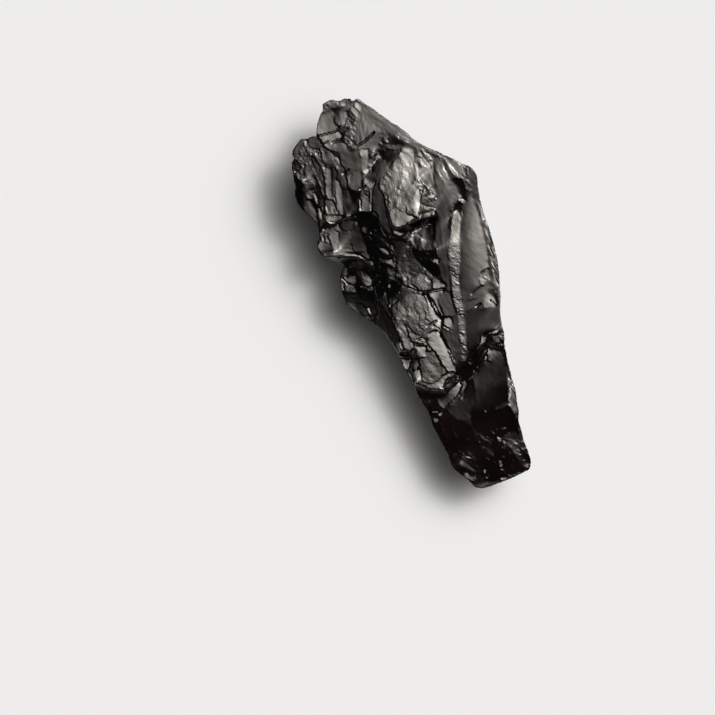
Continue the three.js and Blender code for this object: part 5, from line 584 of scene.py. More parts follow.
# cracks: outline, half width, depth
CR = [
 ([(356.4,146.7),(360,144.6),(365,141.5),(369,137.6),(373.4,133.2)],1,3.2),
 ([(319,136.2),(326,134.2),(332,133),(336,131.4),(339.6,126.8)],0.7,1.1),
 ([(332.6,143),(337,139.8),(341.4,139.4)],0.7,1.2),
 ([(334,143),(338,141.6),(343,142.6)],0.7,0.9),
 ([(323,144.6),(328,141.6)],0.6,0.6),
 ([(343.2,173.8),(345.6,171.8),(348.2,170)],0.8,1.8),
 ([(296,171.6),(299.4,168.4)],0.9,1.2),
 ([(410,288.2),(416,291),(423,292.2),(430,291.5),(438,290),(444,288.8)],1.2,3.4),
 ([(481.4,273.6),(485,270.2),(488.6,268.4)],0.8,1.4),
 ([(472,294),(476,290.8),(482,286.6)],0.7,0.6),
 ([(371,210),(371.4,200),(372,190),(375,182)],0.7,1.2),
 ([(419.4,191),(420.6,195),(421,200),(421.6,204),(419.6,212),(418,217)],0.6,1),
 ([(434,309),(434,309)],0.6,0),
 ([(428,325.8),(433,323),(435.6,321.6)],0.8,1.4),
 ([(434.4,326.4),(439,329),(440.4,331)],0.8,1.6),
 ([(417,340),(421,338),(424.4,339.4)],0.8,1),
 ([(343,279),(345.4,281.4),(347,283.6)],0.7,1),
 ([(362,286.2),(367,287.4),(372.4,285.6)],0.8,1.6),
 ([(476.6,306.4),(480,304)],0.9,1.2),
 ([(491,300.6),(495.4,305)],0.8,1.2),
 ([(456.4,454),(463,455.6),(470,457)],0.7,0.8),
 ([(360.6,189.8),(365,186.4)],0.9,1.8),
]

U0, V0, U1, V1, H = 287.0, 94.0, 536.0, 494.0, 0.5
UNIT = 0.2  # slope of a texture of amplitude 1
RO, GL = .48, .56   # strength of the rough and of the gently uneven grain
BAND, WB = 0, .25  # how far in from its edge a face may bend, and how freely

def lattice(seed, iu, iv):
    n = (iu.astype(np.int64) * 374761393 + iv.astype(np.int64) * 668265263 + seed * 1274126177) & 0xffffffff
    n = ((n ^ (n >> 13)) * 1103515245) & 0xffffffff
    n = ((n ^ (n >> 16)) * 2246822519) & 0xffffffff
    n = n ^ (n >> 15)
    return (n & 0xffffff) / float(0x1000000)

def noise(seed, a, b):
    ia, ib = np.floor(a), np.floor(b)
    fa, fb = a - ia, b - ib
    ia, ib = ia.astype(np.int64), ib.astype(np.int64)
    def g(da, db):
        t = lattice(seed, ia + da, ib + db) * 2 * math.pi
        return np.cos(t) * (fa - da) + np.sin(t) * (fb - db)
    sa, sb = fa ** 3 * (fa * (fa * 6 - 15) + 10), fb ** 3 * (fb * (fb * 6 - 15) + 10)
    x0 = g(0, 0) * (1 - sa) + g(1, 0) * sa
    x1 = g(0, 1) * (1 - sa) + g(1, 1) * sa
    return (x0 * (1 - sb) + x1 * sb) * 1.5  # rms about .35, range +-1

def fractal(seed, a, b, ridge=0.0, oct=3):
    "octaves of equal steepness, each turned against the last"
    r = 0.0
    for k in range(oct):
        q = 2.13 ** k; t = .7 + 1.9 * k
        x, y = (a * math.cos(t) - b * math.sin(t)) * q, (a * math.sin(t) + b * math.cos(t)) * q
        n = noise(seed + 31 * k, x, y)
        if ridge: n = (1 - ridge) * n - ridge * 1.3 * np.abs(n)
        r = r + n / q
    return r

def cells(seed, a, b):
    "nearest jittered lattice point: its cell numbers"
    ia, ib = np.floor(a).astype(np.int64), np.floor(b).astype(np.int64)
    best = np.full(a.shape, 1e9); bi = np.zeros(a.shape, np.int64); bj = np.zeros(a.shape, np.int64)
    for da in (-1, 0, 1):
        for db in (-1, 0, 1):
            pa = ia + da + lattice(seed, ia + da, ib + db)
            pb = ib + db + lattice(seed + 1, ia + da, ib + db)
            d = (a - pa) ** 2 + (b - pb) ** 2
            m = d < best
            best = np.where(m, d, best); bi = np.where(m, ia + da, bi); bj = np.where(m, ib + db, bj)
    return bi, bj

def inside(pts, u, v):
    r = np.zeros(u.shape, bool)
    n = len(pts)
    for i in range(n):
        (x1, y1), (x2, y2) = pts[i], pts[(i + 1) % n]
        if y1 == y2: continue
        c = (y1 > v) != (y2 > v)
        r ^= c & (u < (x2 - x1) * (v - y1) / (y2 - y1) + x1)
    return r

def slope(az, t):
    a, s = math.radians(az), math.tan(math.radians(t))
    return -s * math.cos(a), s * math.sin(a)
def stations(lie):
    if len(lie) == 2 and not isinstance(lie[0], tuple): return [(0, 0) + slope(*lie)]
    return [(x, y) + slope(a, t) for x, y, a, t in lie]

def paint(h=H, warp=0.45):
    u = np.arange(U0, U1 + 1e-6, h); v = np.arange(V0, V1 + 1e-6, h)
    U, V = np.meshgrid(u, v)
    gx = np.zeros(U.shape); gy = np.zeros(U.shape); idn = np.full(U.shape, -1, np.int64); soft = np.zeros(U.shape, np.int64)
    wu = U + warp * (noise(11, U / 3.1, V / 3.1) + .5 * noise(12, U / 1.4, V / 1.4)) * 1.6
    wv = V + warp * (noise(13, U / 3.1, V / 3.1) + .5 * noise(14, U / 1.4, V / 1.4)) * 1.6
    for k, (name, lie, tex, pts) in enumerate(F):
        P = np.array(pts, float)
        j0 = max(0, int((P[:, 0].min() - 2 - U0) / h)); j1 = min(U.shape[1], int((P[:, 0].max() + 2 - U0) / h) + 2)
        i0 = max(0, int((P[:, 1].min() - 2 - V0) / h)); i1 = min(U.shape[0], int((P[:, 1].max() + 2 - V0) / h) + 2)
        if j1 <= j0 or i1 <= i0: continue
        S = np.s_[i0:i1, j0:j1]
        m = inside(pts, wu[S], wv[S])
        if not m.any(): continue
        uu, vv = U[S], V[S]
        st = stations(lie)
        if len(st) == 2:
            (xa, ya, sa0, sa1), (xb, yb, sb0, sb1) = st
            L = (xb - xa) ** 2 + (yb - ya) ** 2
            t = np.clip(((uu - xa) * (xb - xa) + (vv - ya) * (yb - ya)) / L, -.25, 1.25)
            px = sa0 + (sb0 - sa0) * t; py = sa1 + (sb1 - sa1) * t
        else:
            px = np.full(uu.shape, st[0][2]); py = np.full(uu.shape, st[0][3])
        def grad(fn):
            e = h * .5
            return (fn(uu + e, vv) - fn(uu - e, vv)) / (2 * e), (fn(uu, vv + e) - fn(uu, vv - e)) / (2 * e)
        ids = np.full(uu.shape, k * 1000, np.int64); sf = np.zeros(uu.shape, np.int64)
        for q, t in enumerate(tex):
            sd = k * 17 + q * 5 + 3
            if t[0] == 'ro':
                a, s = t[1] * UNIT, t[2]
                fn = lambda x, y: a * s * RO * fractal(sd, x / (1.5 * s) + .35 * noise(sd + 7, x / (2.5 * s), y / (2.5 * s)), y / (1.5 * s), .5)
                dx, dy = grad(fn); px = px + dx; py = py + dy
            elif t[0] == 'gl':
                a, s = t[1] * UNIT, t[2]
                fn = lambda x, y: a * s * GL * fractal(sd, x / s + .3 * noise(sd + 5, x / (2 * s), y / (2 * s)), y / s, 0, 2)
                dx, dy = grad(fn); px = px + dx; py = py + dy
            elif t[0] == 'cr':
                a, s = t[1] * UNIT, t[2]
                bi, bj = cells(sd, uu / s + .25 * noise(sd + 3, uu / s, vv / s), vv / s)
                r = np.sqrt(lattice(sd + 4, bi, bj)) * a * 1.1; th = lattice(sd + 5, bi, bj) * 2 * math.pi
                px = px + r * np.cos(th); py = py + r * np.sin(th)
                sf = sf + ((bi * 7 + bj * 131) & 1023) + 1
            elif t[0] == 'sp':   # sparks: a share of the chips looks straight into the light
                bi, bj = cells(sd, uu / t[2] + .3 * noise(sd + 3, uu / t[2], vv / t[2]), vv / t[2])
                on = lattice(sd + 4, bi, bj) < t[1]
                r = .1 * lattice(sd + 6, bi, bj); th = lattice(sd + 5, bi, bj) * 2 * math.pi
                px = np.where(on, LOOK[0] + r * np.cos(th), px); py = np.where(on, LOOK[1] + r * np.sin(th), py)
                ids = np.where(on, k * 1000 + 1 + ((bi * 7 + bj * 131) % 900), ids)
            elif t[0] == 'fl':
                an, ln, w, a = math.radians(t[1]), t[2], t[3], t[4] * UNIT
                ca, sa_ = math.cos(an), -math.sin(an)
                al, ac = uu * ca + vv * sa_, -uu * sa_ + vv * ca
                bi, bj = cells(sd, al / ln + .3 * noise(sd + 3, uu / w, vv / w), ac / w + .35 * noise(sd + 6, al / ln, ac / w))
                r = np.sqrt(lattice(sd + 4, bi, bj)) * a * 1.1; th = lattice(sd + 5, bi, bj) * 2 * math.pi
                px = px + r * np.cos(th); py = py + r * np.sin(th)
                sf = sf + ((bi * 7 + bj * 131) & 1023) + 1
            elif t[0] == 'st':
                an, ln, w, a = math.radians(t[1]), t[2], t[3], t[4] * UNIT
                ca, sa_ = math.cos(an), -math.sin(an)
                def fn(x, y):
                    al, ac = x * ca + y * sa_, -x * sa_ + y * ca
                    ac = ac + .35 * w * noise(sd + 2, al / (1.2 * ln), ac / (3 * w))
                    return a * w * .8 * (noise(sd, al / (1.6 * ln), ac / w) + .4 * noise(sd + 1, al / ln, 2.2 * ac / w))
                dx, dy = grad(fn); px = px + dx; py = py + dy
            elif t[0] in ('rib', 'arc'):
                if t[0] == 'rib':
                    an, P_, a = math.radians(t[1]), t[2], t[3] * UNIT
                    ca, sa_ = math.cos(an), -math.sin(an)
                    def fn(x, y):
                        al, ac = x * ca + y * sa_, -x * sa_ + y * ca
                        ph = 2 * math.pi * ac / P_ + 1.9 * noise(sd, al / (4 * P_), ac / (2.2 * P_)) + .5 * noise(sd + 1, al / (1.2 * P_), ac / P_)
                        am = 1 + .5 * noise(sd + 2, al / (2 * P_), ac / (2 * P_))
                        return a * P_ / (2 * math.pi) * am * (np.sin(ph) + .28 * np.sin(2 * ph + .8))
                else:
                    cx, cy, P_, a = t[1], t[2], t[3], t[4] * UNIT
                    def fn(x, y):
                        r = np.hypot(x - cx, y - cy)
                        ph = 2 * math.pi * r / P_ + .8 * noise(sd, x / (3 * P_), y / (3 * P_))
                        return a * P_ / (2 * math.pi) * (np.sin(ph) + .28 * np.sin(2 * ph + .8))
                dx, dy = grad(fn); px = px + dx; py = py + dy
        gx[S] = np.where(m, px, gx[S]); gy[S] = np.where(m, py, gy[S])
        idn[S] = np.where(m, ids, idn[S]); soft[S] = np.where(m, sf, soft[S])
    return U, V, gx, gy, idn, soft

def edge_weight(idn, h):
    "per node: low on the border of a face, rising to 1 inside"
    m = np.zeros(idn.shape, bool)
    e = idn[:, 1:] != idn[:, :-1]; m[:, 1:] |= e; m[:, :-1] |= e
    e = idn[1:] != idn[:-1]; m[1:] |= e; m[:-1] |= e
    n = max(int(round(BAND / h)), 1); w = np.ones(idn.shape)
    for k in range(n):
        w = np.where(m, np.minimum(w, WB + (1 - WB) * k / n), w)
        g = m.copy(); g[1:] |= m[:-1]; g[:-1] |= m[1:]; g[:, 1:] |= m[:, :-1]; g[:, :-1] |= m[:, 1:]; m = g
    return w

def links(gx, gy, idn, soft, wb=.12, ws=.45):
    lx = .5 * (gx[:, 1:] + gx[:, :-1]); ly = .5 * (gy[1:] + gy[:-1])
    wx = np.where(idn[:, 1:] != idn[:, :-1], wb, np.where(soft[:, 1:] != soft[:, :-1], ws, 1.0))
    wy = np.where(idn[1:] != idn[:-1], wb, np.where(soft[1:] != soft[:-1], ws, 1.0))
    if BAND > 0:
        e = edge_weight(idn, H)
        wx = np.where(wx < wb * 1.01, wx, wx * np.minimum(e[:, 1:], e[:, :-1])); wy = np.where(wy < wb * 1.01, wy, wy * np.minimum(e[1:], e[:-1]))
    return lx, ly, wx, wy

LEVEL = [(330,104,-3),(330,125,-1),(350,125,1),(370,130,0),(385,112,-6),(372,106,-9),(400,127,-11),(415,142,-8),(432,149,-13),(450,158,-12),(470,168,-17),(472,182,-12),
 (318,120,-8),(318,137,-10),(395,148,-10),(400,175,5),(410,200,6),(425,185,4),(425,212,3),(382,205,-3),
 (350,165,-2),(352,205,-5),(365,205,-3),(365,180,-3),(330,185,-6),(310,165,-12),(296,165,-20),(312,200,-17),(299,203,-28),(295,190,-26),(302,142,-16),
 (330,220,-7),(345,240,-5),(360,245,-7),(322,248,-14),(350,262,-24),(350,285,-22),(341,285,-28),(350,305,-32),(365,305,-27),(385,325,-29),(399,352,-26),
 (366,222,-16),(375,240,-17),(385,270,-15),(420,236,-8),(424,262,-20),(400,258,-13),(392,290,-16),(425,284,-6),
 (405,310,-9),(430,310,-4),(405,340,-11),(430,360,-4),(448,345,-11),(447,305,-7),(440,230,-7),(442,180,-7),(455,200,-10),
 (455,250,-4),(460,330,-5),(475,240,-3),(485,250,-7),(480,310,-9),(480,200,-11),(495,255,-14),(499,290,-17),(485,350,-19),(501,330,-21),(470,370,-18),
 (490,380,-15),(504,390,-18),(515,400,-25),(518,412,-27),(465,405,-14),(448,398,-9),(430,400,-23),(416,388,-27),(490,420,-17),(455,435,-23),(436,428,-29),(490,440,-16),(495,462,-21),(465,465,-26),(452,462,-32),(470,480,-33),(500,481,-33),(528,466,-29),(524,448,-22)]

def macro(U, V, s=9.0):
    n = np.zeros(U.shape); d = np.zeros(U.shape)
    for x, y, l in LEVEL:
        w = np.exp(-((U - x) ** 2 + (V - y) ** 2) / (2 * s * s)) + 1e-5 * np.exp(-((U - x) ** 2 + (V - y) ** 2) / (2 * (4 * s) ** 2))
        n += w * l; d += w
    return n / (d + 1e-30)

def cg(z, lx, ly, wx, wy, h, eps, z0, iters):
    "least squares of w (dz/h - l)^2 + eps (z - z0)^2"
    def A(z):
        dx = wx * (z[:, 1:] - z[:, :-1]); dy = wy * (z[1:] - z[:-1])
        r = eps * z
        r[:, 1:] += dx; r[:, :-1] -= dx
        r[1:] += dy; r[:-1] -= dy
        return r
    fx = wx * lx * h; fy = wy * ly * h
    b = eps * z0 + np.zeros_like(z)
    b[:, 1:] += fx; b[:, :-1] -= fx
    b[1:] += fy; b[:-1] -= fy
    D = np.full(z.shape, eps); D[:, 1:] += wx; D[:, :-1] += wx; D[1:] += wy; D[:-1] += wy
    r = b - A(z); y = r / D; p = y.copy(); ry = (r * y).sum()
    for k in range(iters):
        Ap = A(p); al = ry / (p * Ap).sum()
        z = z + al * p; r = r - al * Ap
        y = r / D; n = (r * y).sum()
        p = y + (n / ry) * p; ry = n
        if ry < 1e-9: break
    return z

def down(a, n, m):
    return a[:n * 2, :m * 2].reshape(n, 2, m, 2).mean((1, 3))

W0, D0 = .12, .07
HORN = 8   # nodes
JOIN, WJ = [('R6','R8'),('R6','R7'),('R7','R8'),('R1','R6'),('M2','M2b'),('M2r','M2c'),('P18k','P18'),('P5','P6'),('base','M4'),('C1e','C1f'),('F1','L1b'),('base','A4')], .7   # faces that meet in a ridge and never part in a step
TURNS, TURNBY, TURNBLUR, WT = 8, 3.0, .7, 1.0
LOOK = slope(35, 12)   # a face keeps how far it lies from this and may turn about it
def solve(h=H, wb=.01, ws=.45, eps=3e-5, iters=(300, 250, 200, 120), warp=.45, rounds=4):
    U, V, gx, gy, idn, soft = paint(h, warp)
    lx, ly, wx, wy = links(gx, gy, idn, soft, wb, ws)
    # node-centred weights for the coarser levels
    W = np.ones(U.shape)
    W[:, 1:] = np.minimum(W[:, 1:], wx); W[1:] = np.minimum(W[1:], wy)
    M = macro(U, V)
    lev = [(gx, gy, W, M)]
    while len(lev) < len(iters):
        a, b, c, e = lev[-1]
        n, m = a.shape[0] // 2, a.shape[1] // 2
        lev.append((down(a * c, n, m) / down(c, n, m), down(b * c, n, m) / down(c, n, m), 1 / down(1 / c, n, m), down(e, n, m)))
    z = None
    for k in range(len(iters) - 1, -1, -1):
        a, b, c, e = lev[k]
        hk = h * 2 ** k
        if z is None: z = e.copy()
        else:
            n, m = a.shape
            ri = np.clip((np.arange(n) + .5) / 2 - .5, 0, z.shape[0] - 1); rj = np.clip((np.arange(m) + .5) / 2 - .5, 0, z.shape[1] - 1)
            i0 = np.minimum(ri.astype(int), z.shape[0] - 2); j0 = np.minimum(rj.astype(int), z.shape[1] - 2)
            fi = (ri - i0)[:, None]; fj = (rj - j0)[None]
            z = (z[i0][:, j0] * (1 - fi) * (1 - fj) + z[i0 + 1][:, j0] * fi * (1 - fj) + z[i0][:, j0 + 1] * (1 - fi) * fj + z[i0 + 1][:, j0 + 1] * fi * fj)
        if k == 0:
            bx = idn[:, 1:] != idn[:, :-1]; by = idn[1:] != idn[:-1]
            kk = np.where(idn < 0, -1, idn // 1000); names = [f[0] for f in F]
            jk = np.array([min(p, q) * 1000 + max(p, q) for p, q in ((names.index(c), names.index(d)) for c, d in JOIN)] or [-9])
            jx = np.isin(np.minimum(kk[:, 1:], kk[:, :-1]) * 1000 + np.maximum(kk[:, 1:], kk[:, :-1]), jk)
            jy = np.isin(np.minimum(kk[1:], kk[:-1]) * 1000 + np.maximum(kk[1:], kk[:-1]), jk)
            for q in range(TURNS + rounds):
                if 0 < q <= TURNS:   # let each face turn about the way it must look, so that faces meet better
                    zs = blur(z, TURNBLUR)
                    dx = np.zeros_like(z); dy = np.zeros_like(z)
                    dx[:, 1:-1] = (zs[:, 2:] - zs[:, :-2]) / (2 * h); dy[1:-1] = (zs[2:] - zs[:-2]) / (2 * h)
                    vx, vy = gx - LOOK[0], gy - LOOK[1]; r = np.hypot(vx, vy) + 1e-9
                    wx_, wy_ = dx - LOOK[0], dy - LOOK[1]; rr = np.hypot(wx_, wy_) + 1e-9
                    ux, uy = vx / r + TURNBY * wx_ / rr, vy / r + TURNBY * wy_ / rr; ru = np.hypot(ux, uy) + 1e-9
                    ok = (r < .45) & (ru > .3)
                    gx = np.where(ok, LOOK[0] + r * ux / ru, gx); gy = np.where(ok, LOOK[1] + r * uy / ru, gy)
                    lx = .5 * (gx[:, 1:] + gx[:, :-1]); ly = .5 * (gy[1:] + gy[:-1])
                w0, d0 = (WT, 9.0) if q < TURNS else (W0, D0)
                rx = np.abs(z[:, 1:] - z[:, :-1] - lx * h); r_y = np.abs(z[1:] - z[:-1] - ly * h)
                ax = np.where(bx, w0 * np.minimum(1, d0 / (rx + 1e-9)), wx); ay = np.where(by, w0 * np.minimum(1, d0 / (r_y + 1e-9)), wy)
                ax = np.where(jx, WJ, ax); ay = np.where(jy, WJ, ay)
                z = cg(z, lx, ly, ax, ay, hk, eps, e, iters[-1])
        else:
            z = cg(z, .5 * (a[:, 1:] + a[:, :-1]), .5 * (b[1:] + b[:-1]), .5 * (c[:, 1:] + c[:, :-1]), .5 * (c[1:] + c[:-1]), hk, eps * 4 ** k, e, iters[len(iters) - 1 - k])
    return U, V, z, idn

def blur(z, s, h=H):
    s = s / h
    r = int(3 * s + 1); k = np.exp(-.5 * (np.arange(-r, r + 1) / s) ** 2); k /= k.sum()
    p = np.pad(z, ((r, r), (0, 0)), 'edge'); z = sum(k[i] * p[i:i + z.shape[0]] for i in range(2 * r + 1))
    p = np.pad(z, ((0, 0), (r, r)), 'edge'); return sum(k[i] * p[:, i:i + z.shape[1]] for i in range(2 * r + 1))

def groove(x, y):
    "depth of the cracks: each a sharp V"
    g = np.zeros(x.shape)
    for pl, w, dp in CR:
        d = np.full(x.shape, 1e9)
        for (x1, y1), (x2, y2) in zip(pl[:-1], pl[1:]):
            L = (x2 - x1) ** 2 + (y2 - y1) ** 2 + 1e-12
            t = np.clip(((x - x1) * (x2 - x1) + (y - y1) * (y2 - y1)) / L, 0, 1)
            d = np.minimum(d, np.hypot(x - x1 - t * (x2 - x1), y - y1 - t * (y2 - y1)))
        g = np.maximum(g, dp * np.clip(1 - d / w, 0, 1))
    return g

def slide(z, n, axis, pick):
    "the lowest or highest value within n nodes along one axis"
    o = z
    for k in range(1, n + 1):
        for s in (k, -k):
            r = np.roll(z, s, axis)
            e = [slice(None)] * 2; e[axis] = slice(0, k) if s > 0 else slice(-k, None); r[tuple(e)] = z[tuple(e)]
            o = pick(o, r)
    return o

def broken_tips(z, n=HORN, keep=.7, more=.5):
    "thin horns don't survive a break: what stands out of its surroundings is cut down"
    o = slide(slide(z, n, 0, np.minimum), n, 1, np.minimum)
    o = slide(slide(o, n, 0, np.maximum), n, 1, np.maximum)
    d = z - o
    return np.where(d > keep, o + keep + more * (1 - np.exp(-(d - keep) / more)), z)

def front(**k):
    U, V, z, idn = solve(**k)
    z = blur(broken_tips(z), .3)
    return U, V, z, idn


# ---------- sides and underside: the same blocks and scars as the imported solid
HEAD = [(293,172,182,72,4),(296.5,203,222,57,6),(300,142,140,64,5),(318,122,168,72,5),(335,101,92,76,4),
 (372,108.5,54,66,5),(415,140.6,50,57,6),(318,247,196,64,5),(318,232,175,78,8),(330,259.5,242,60,4),
 (352,168,150,43),(398,286,290,50),(346,226,205,50)]
BODY = [(372,108.5,54,66,5),(415,140.6,50,57,6),(455,159.8,66,72,5),(477,180,12,78,6),(485,217,22,66,5),
 (499,268,9,73,5),(501,320,356,61,6),(508,362,14,68,5),(518,408,6,75,5),(527,448,27,60,4),
 (506,481,288,66,4),(470,483,228,70,4),(446,450,206,62,6),(428,411,214,73,5),(409,376,214,57,6),
 (399,357,200,66,5),(478,392,298,15),(394,296,204,58),(374,180,168,52),(452,382,258,24),(460,236,18,47)]
KNOB = [(340,283,180,73,4),(347,304,222,59,5),(367,319,238,66,5),(384,332,218,56,6),(342,268,140,70,6),
 (372,266,112,56),(430,322,322,42),(368,288,208,38)]
SCARS = [(306,196,46,6),(303,168,34,4),(312,144,40,5),(350,112,44,6),(396,132,50,5),(440,160,40,5),
 (470,190,44,5),(478,236,56,6),(488,286,60,6),(490,334,44,5),(504,386,52,5),(512,440,40,4),
 (496,470,44,5),(470,470,34,4),(456,436,54,5),(424,390,46,6),(396,342,52,6),(360,304,34,4),
 (350,280,30,4),(326,244,36,5),(360,150,60,5),(500,428,70,5),(452,210,40,3),(380,300,40,4)]
SIDE_DEPTH, SIDE_TURN, WALL, GAP, EVEN = 44.0, 15.0, 3.8, 2.4, 4.5
TOP = 105.0                      # plan units, the highest point above the resting face
UNIT_M = 0.0002                  # one plan unit in metres
LONG_AXIS = math.radians(-66.5)  # the way the thin end points in plan

def sample(field, x, y):
    fj = np.clip((x - U0) / H, 0, field.shape[1] - 1.001); fi = np.clip((y - V0) / H, 0, field.shape[0] - 1.001)
    j, i = fj.astype(int), fi.astype(int); a, b = fj - j, fi - i
    return (field[i, j] * (1 - a) + field[i, j + 1] * a) * (1 - b) + (field[i + 1, j] * (1 - a) + field[i + 1, j + 1] * a) * b

U, V, zfine, idn = front()
m_in = inside(OUT, U, V)
zfine = zfine + TOP - zfine[m_in].max()
zsoft = blur(zfine, 1.1)
zrim = blur(zsoft, 4.0)

def near(x, y, ring):
    d = np.full(x.shape, 1e9)
    for (x1, y1), (x2, y2) in zip(ring, list(ring[1:]) + [ring[0]]):
        L = (x2 - x1) ** 2 + (y2 - y1) ** 2 + 1e-12
        t = np.clip(((x - x1) * (x2 - x1) + (y - y1) * (y2 - y1)) / L, 0, 1)
        d = np.minimum(d, np.hypot(x - x1 - t * (x2 - x1), y - y1 - t * (y2 - y1)))
    return d

# how far in from the outline each node lies, evened out: the sides don't repeat every notch of the rim below it
inner = np.where(m_in, 1.0, -1.0) * near(U.ravel(), V.ravel(), OUT).reshape(U.shape)
inner = blur(inner, 3.5)

def planes(rows):
    out = []
    for r in rows:
        a = math.radians(r[2])
        z0 = 0.0 if len(r) == 4 else float(sample(zrim, np.array([r[0]]), np.array([r[1]]))[0]) - r[4]
        out.append((r[0], r[1], math.cos(a), -math.sin(a), math.tan(math.radians(r[3])), z0))
    return out
BLOCKS = [planes(b) for b in (HEAD, BODY, KNOB)]

def broken(x, y):
    z = np.full(x.shape, 1e9)
    for b in BLOCKS:
        h = np.zeros(x.shape)
        for px, py, cx, cy, t, z0 in b:
            h = np.maximum(h, z0 + t * ((x - px) * cx + (y - py) * cy))
        z = np.minimum(z, h)
    return z

BOWLS = []
for sx, sy, sr, sd in SCARS:
    q = [float(broken(np.array([sx + a]), np.array([sy + b]))[0]) for a, b in ((0, 0), (2, 0), (-2, 0), (0, 2), (0, -2))]
    gx, gy = (q[1] - q[2]) / 4, (q[3] - q[4]) / 4
    off = (sr - sd) / math.sqrt(gx * gx + gy * gy + 1)
    BOWLS.append((sx + gx * off, sy + gy * off, q[0] - off, sr))

def back(x, y):
    z = broken(x, y)
    for bx, by, bz, br in BOWLS:
        h = br * br - (x - bx) ** 2 - (y - by) ** 2
        z = np.where(h > 0, np.maximum(z, bz + np.sqrt(np.maximum(h, 0))), z)
    rim = np.minimum(sample(zrim, x, y), sample(zsoft, x, y)) - GAP
    d = near(x, y, OUT); t = np.minimum(1, d / EVEN)
    d = d + (np.maximum(0, sample(inner, x, y)) - d) * t * t * (3 - 2 * t)
    return np.maximum(0, np.minimum(np.maximum(z, rim - WALL * d), rim - SIDE_DEPTH * (1 - np.exp(-d / SIDE_TURN))))

# ---------- the fine mesh
def stepped(pts, step):
    P = np.array(pts, float); Q = np.roll(P, -1, 0); L = np.hypot(*(Q - P).T); n = int(round(L.sum() / step))
    s = np.concatenate([[0], np.cumsum(L)]); t = np.arange(n) * s[-1] / n
    k = np.clip(np.searchsorted(s, t, side='right') - 1, 0, len(P) - 1)
    a = ((t - s[k]) / L[k])[:, None]
    return P[k] * (1 - a) + Q[k] * a

FRONT_STEP, FINE, SIDE_STEP, BASE_STEP, SIDE_WIDTH, RIM_STEP = ((0.66, .42, 1.45, 2.8, 36, 0.8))
ring = stepped(OUT, RIM_STEP)
# the rim is a fresh break: nicked a little inwards all along
nxt, prv = np.roll(ring, -1, 0), np.roll(ring, 1, 0)
tan = nxt - prv; tan /= np.hypot(*tan.T)[:, None]
inw = np.stack([-tan[:, 1], tan[:, 0]], 1)   # the outline runs clockwise with y down, so this points inwards
nick = np.clip(noise(901, ring[:, 0] / 3.3, ring[:, 1] / 3.3) + .6 * noise(902, ring[:, 0] / 1.4, ring[:, 1] / 1.4), 0, 1) * .55
if not inside([tuple(p) for p in ring], (ring + inw * .5)[:, 0], (ring + inw * .5)[:, 1]).mean() > .5: inw = -inw
ring = ring + inw * nick[:, None]
RING = [tuple(p) for p in ring]
NR = len(ring)

def lattice_points(step, lo, hi, both=False):
    "an even triangular lattice inside the rim; with both, also which of its points make up the lattice of twice the step"
    dy = step * math.sqrt(3) / 2
    rows, evens = [], []
    for i in range(int(400 / dy) + 1):
        x = np.arange(U0 + (i % 2) * step * .5, U1, step)
        rows.append(np.stack([x, np.full(x.shape, V0 + 1 + i * dy)], 1))
        evens.append((np.arange(len(x)) % 2 == (i // 2) % 2) & (i % 2 == 0))
    p, ev = np.concatenate(rows), np.concatenate(evens)
    p = p + .08 * step * np.stack([np.sin(p[:, 0] * 7.3 + p[:, 1] * 3.1), np.cos(p[:, 0] * 5.1 - p[:, 1] * 2.7)], 1)
    k = inside(RING, p[:, 0], p[:, 1]); p, ev = p[k], ev[k]
    d = near(p[:, 0], p[:, 1], RING); k = (d > lo) & (d <= hi)
    return (p[k], ev[k]) if both else p[k]

def mesh2d(pts):
    vs = [Vector((float(x), float(y))) for x, y in pts]
    out = delaunay_2d_cdt(vs, [], [list(range(NR))], 1, 1e-7, False)
    assert len(out[0]) == len(vs), (len(out[0]), len(vs))
    q = np.array([tuple(v) for v in out[0]]); assert np.abs(q - pts).max() < 1e-4
    t = np.array([list(f) for f in out[2]], np.int64)
    m = pts[t].mean(1); t = t[inside(RING, m[:, 0], m[:, 1])]
    a, b, c = pts[t[:, 0]], pts[t[:, 1]], pts[t[:, 2]]
    s = (b[:, 0] - a[:, 0]) * (c[:, 1] - a[:, 1]) - (b[:, 1] - a[:, 1]) * (c[:, 0] - a[:, 0])
    t[s < 0] = t[s < 0][:, ::-1]
    return t   # all one way round, with y down

# a row of points down the middle of each crack and one along either lip
cp = []
for pl, w, dp in CR:
    A = np.array(pl, float); L = np.concatenate([[0], np.cumsum(np.hypot(*np.diff(A, axis=0).T))])
    s = np.linspace(0, L[-1], max(2, int(round(L[-1] / .8)) + 1))
    q = np.stack([np.interp(s, L, A[:, 0]), np.interp(s, L, A[:, 1])], 1)
    n = np.gradient(q, axis=0); n = np.stack([-n[:, 1], n[:, 0]], 1) / (np.hypot(*n.T)[:, None] + 1e-9)
    cp += [q, q + n * w * 1.02, q - n * w * 1.02]
cp = np.concatenate(cp)
cp = cp[inside(RING, cp[:, 0], cp[:, 1])]; cp = cp[near(cp[:, 0], cp[:, 1], RING) > .7]
_, keep = np.unique(np.round(cp / .35), axis=0, return_index=True); cp = cp[np.sort(keep)]
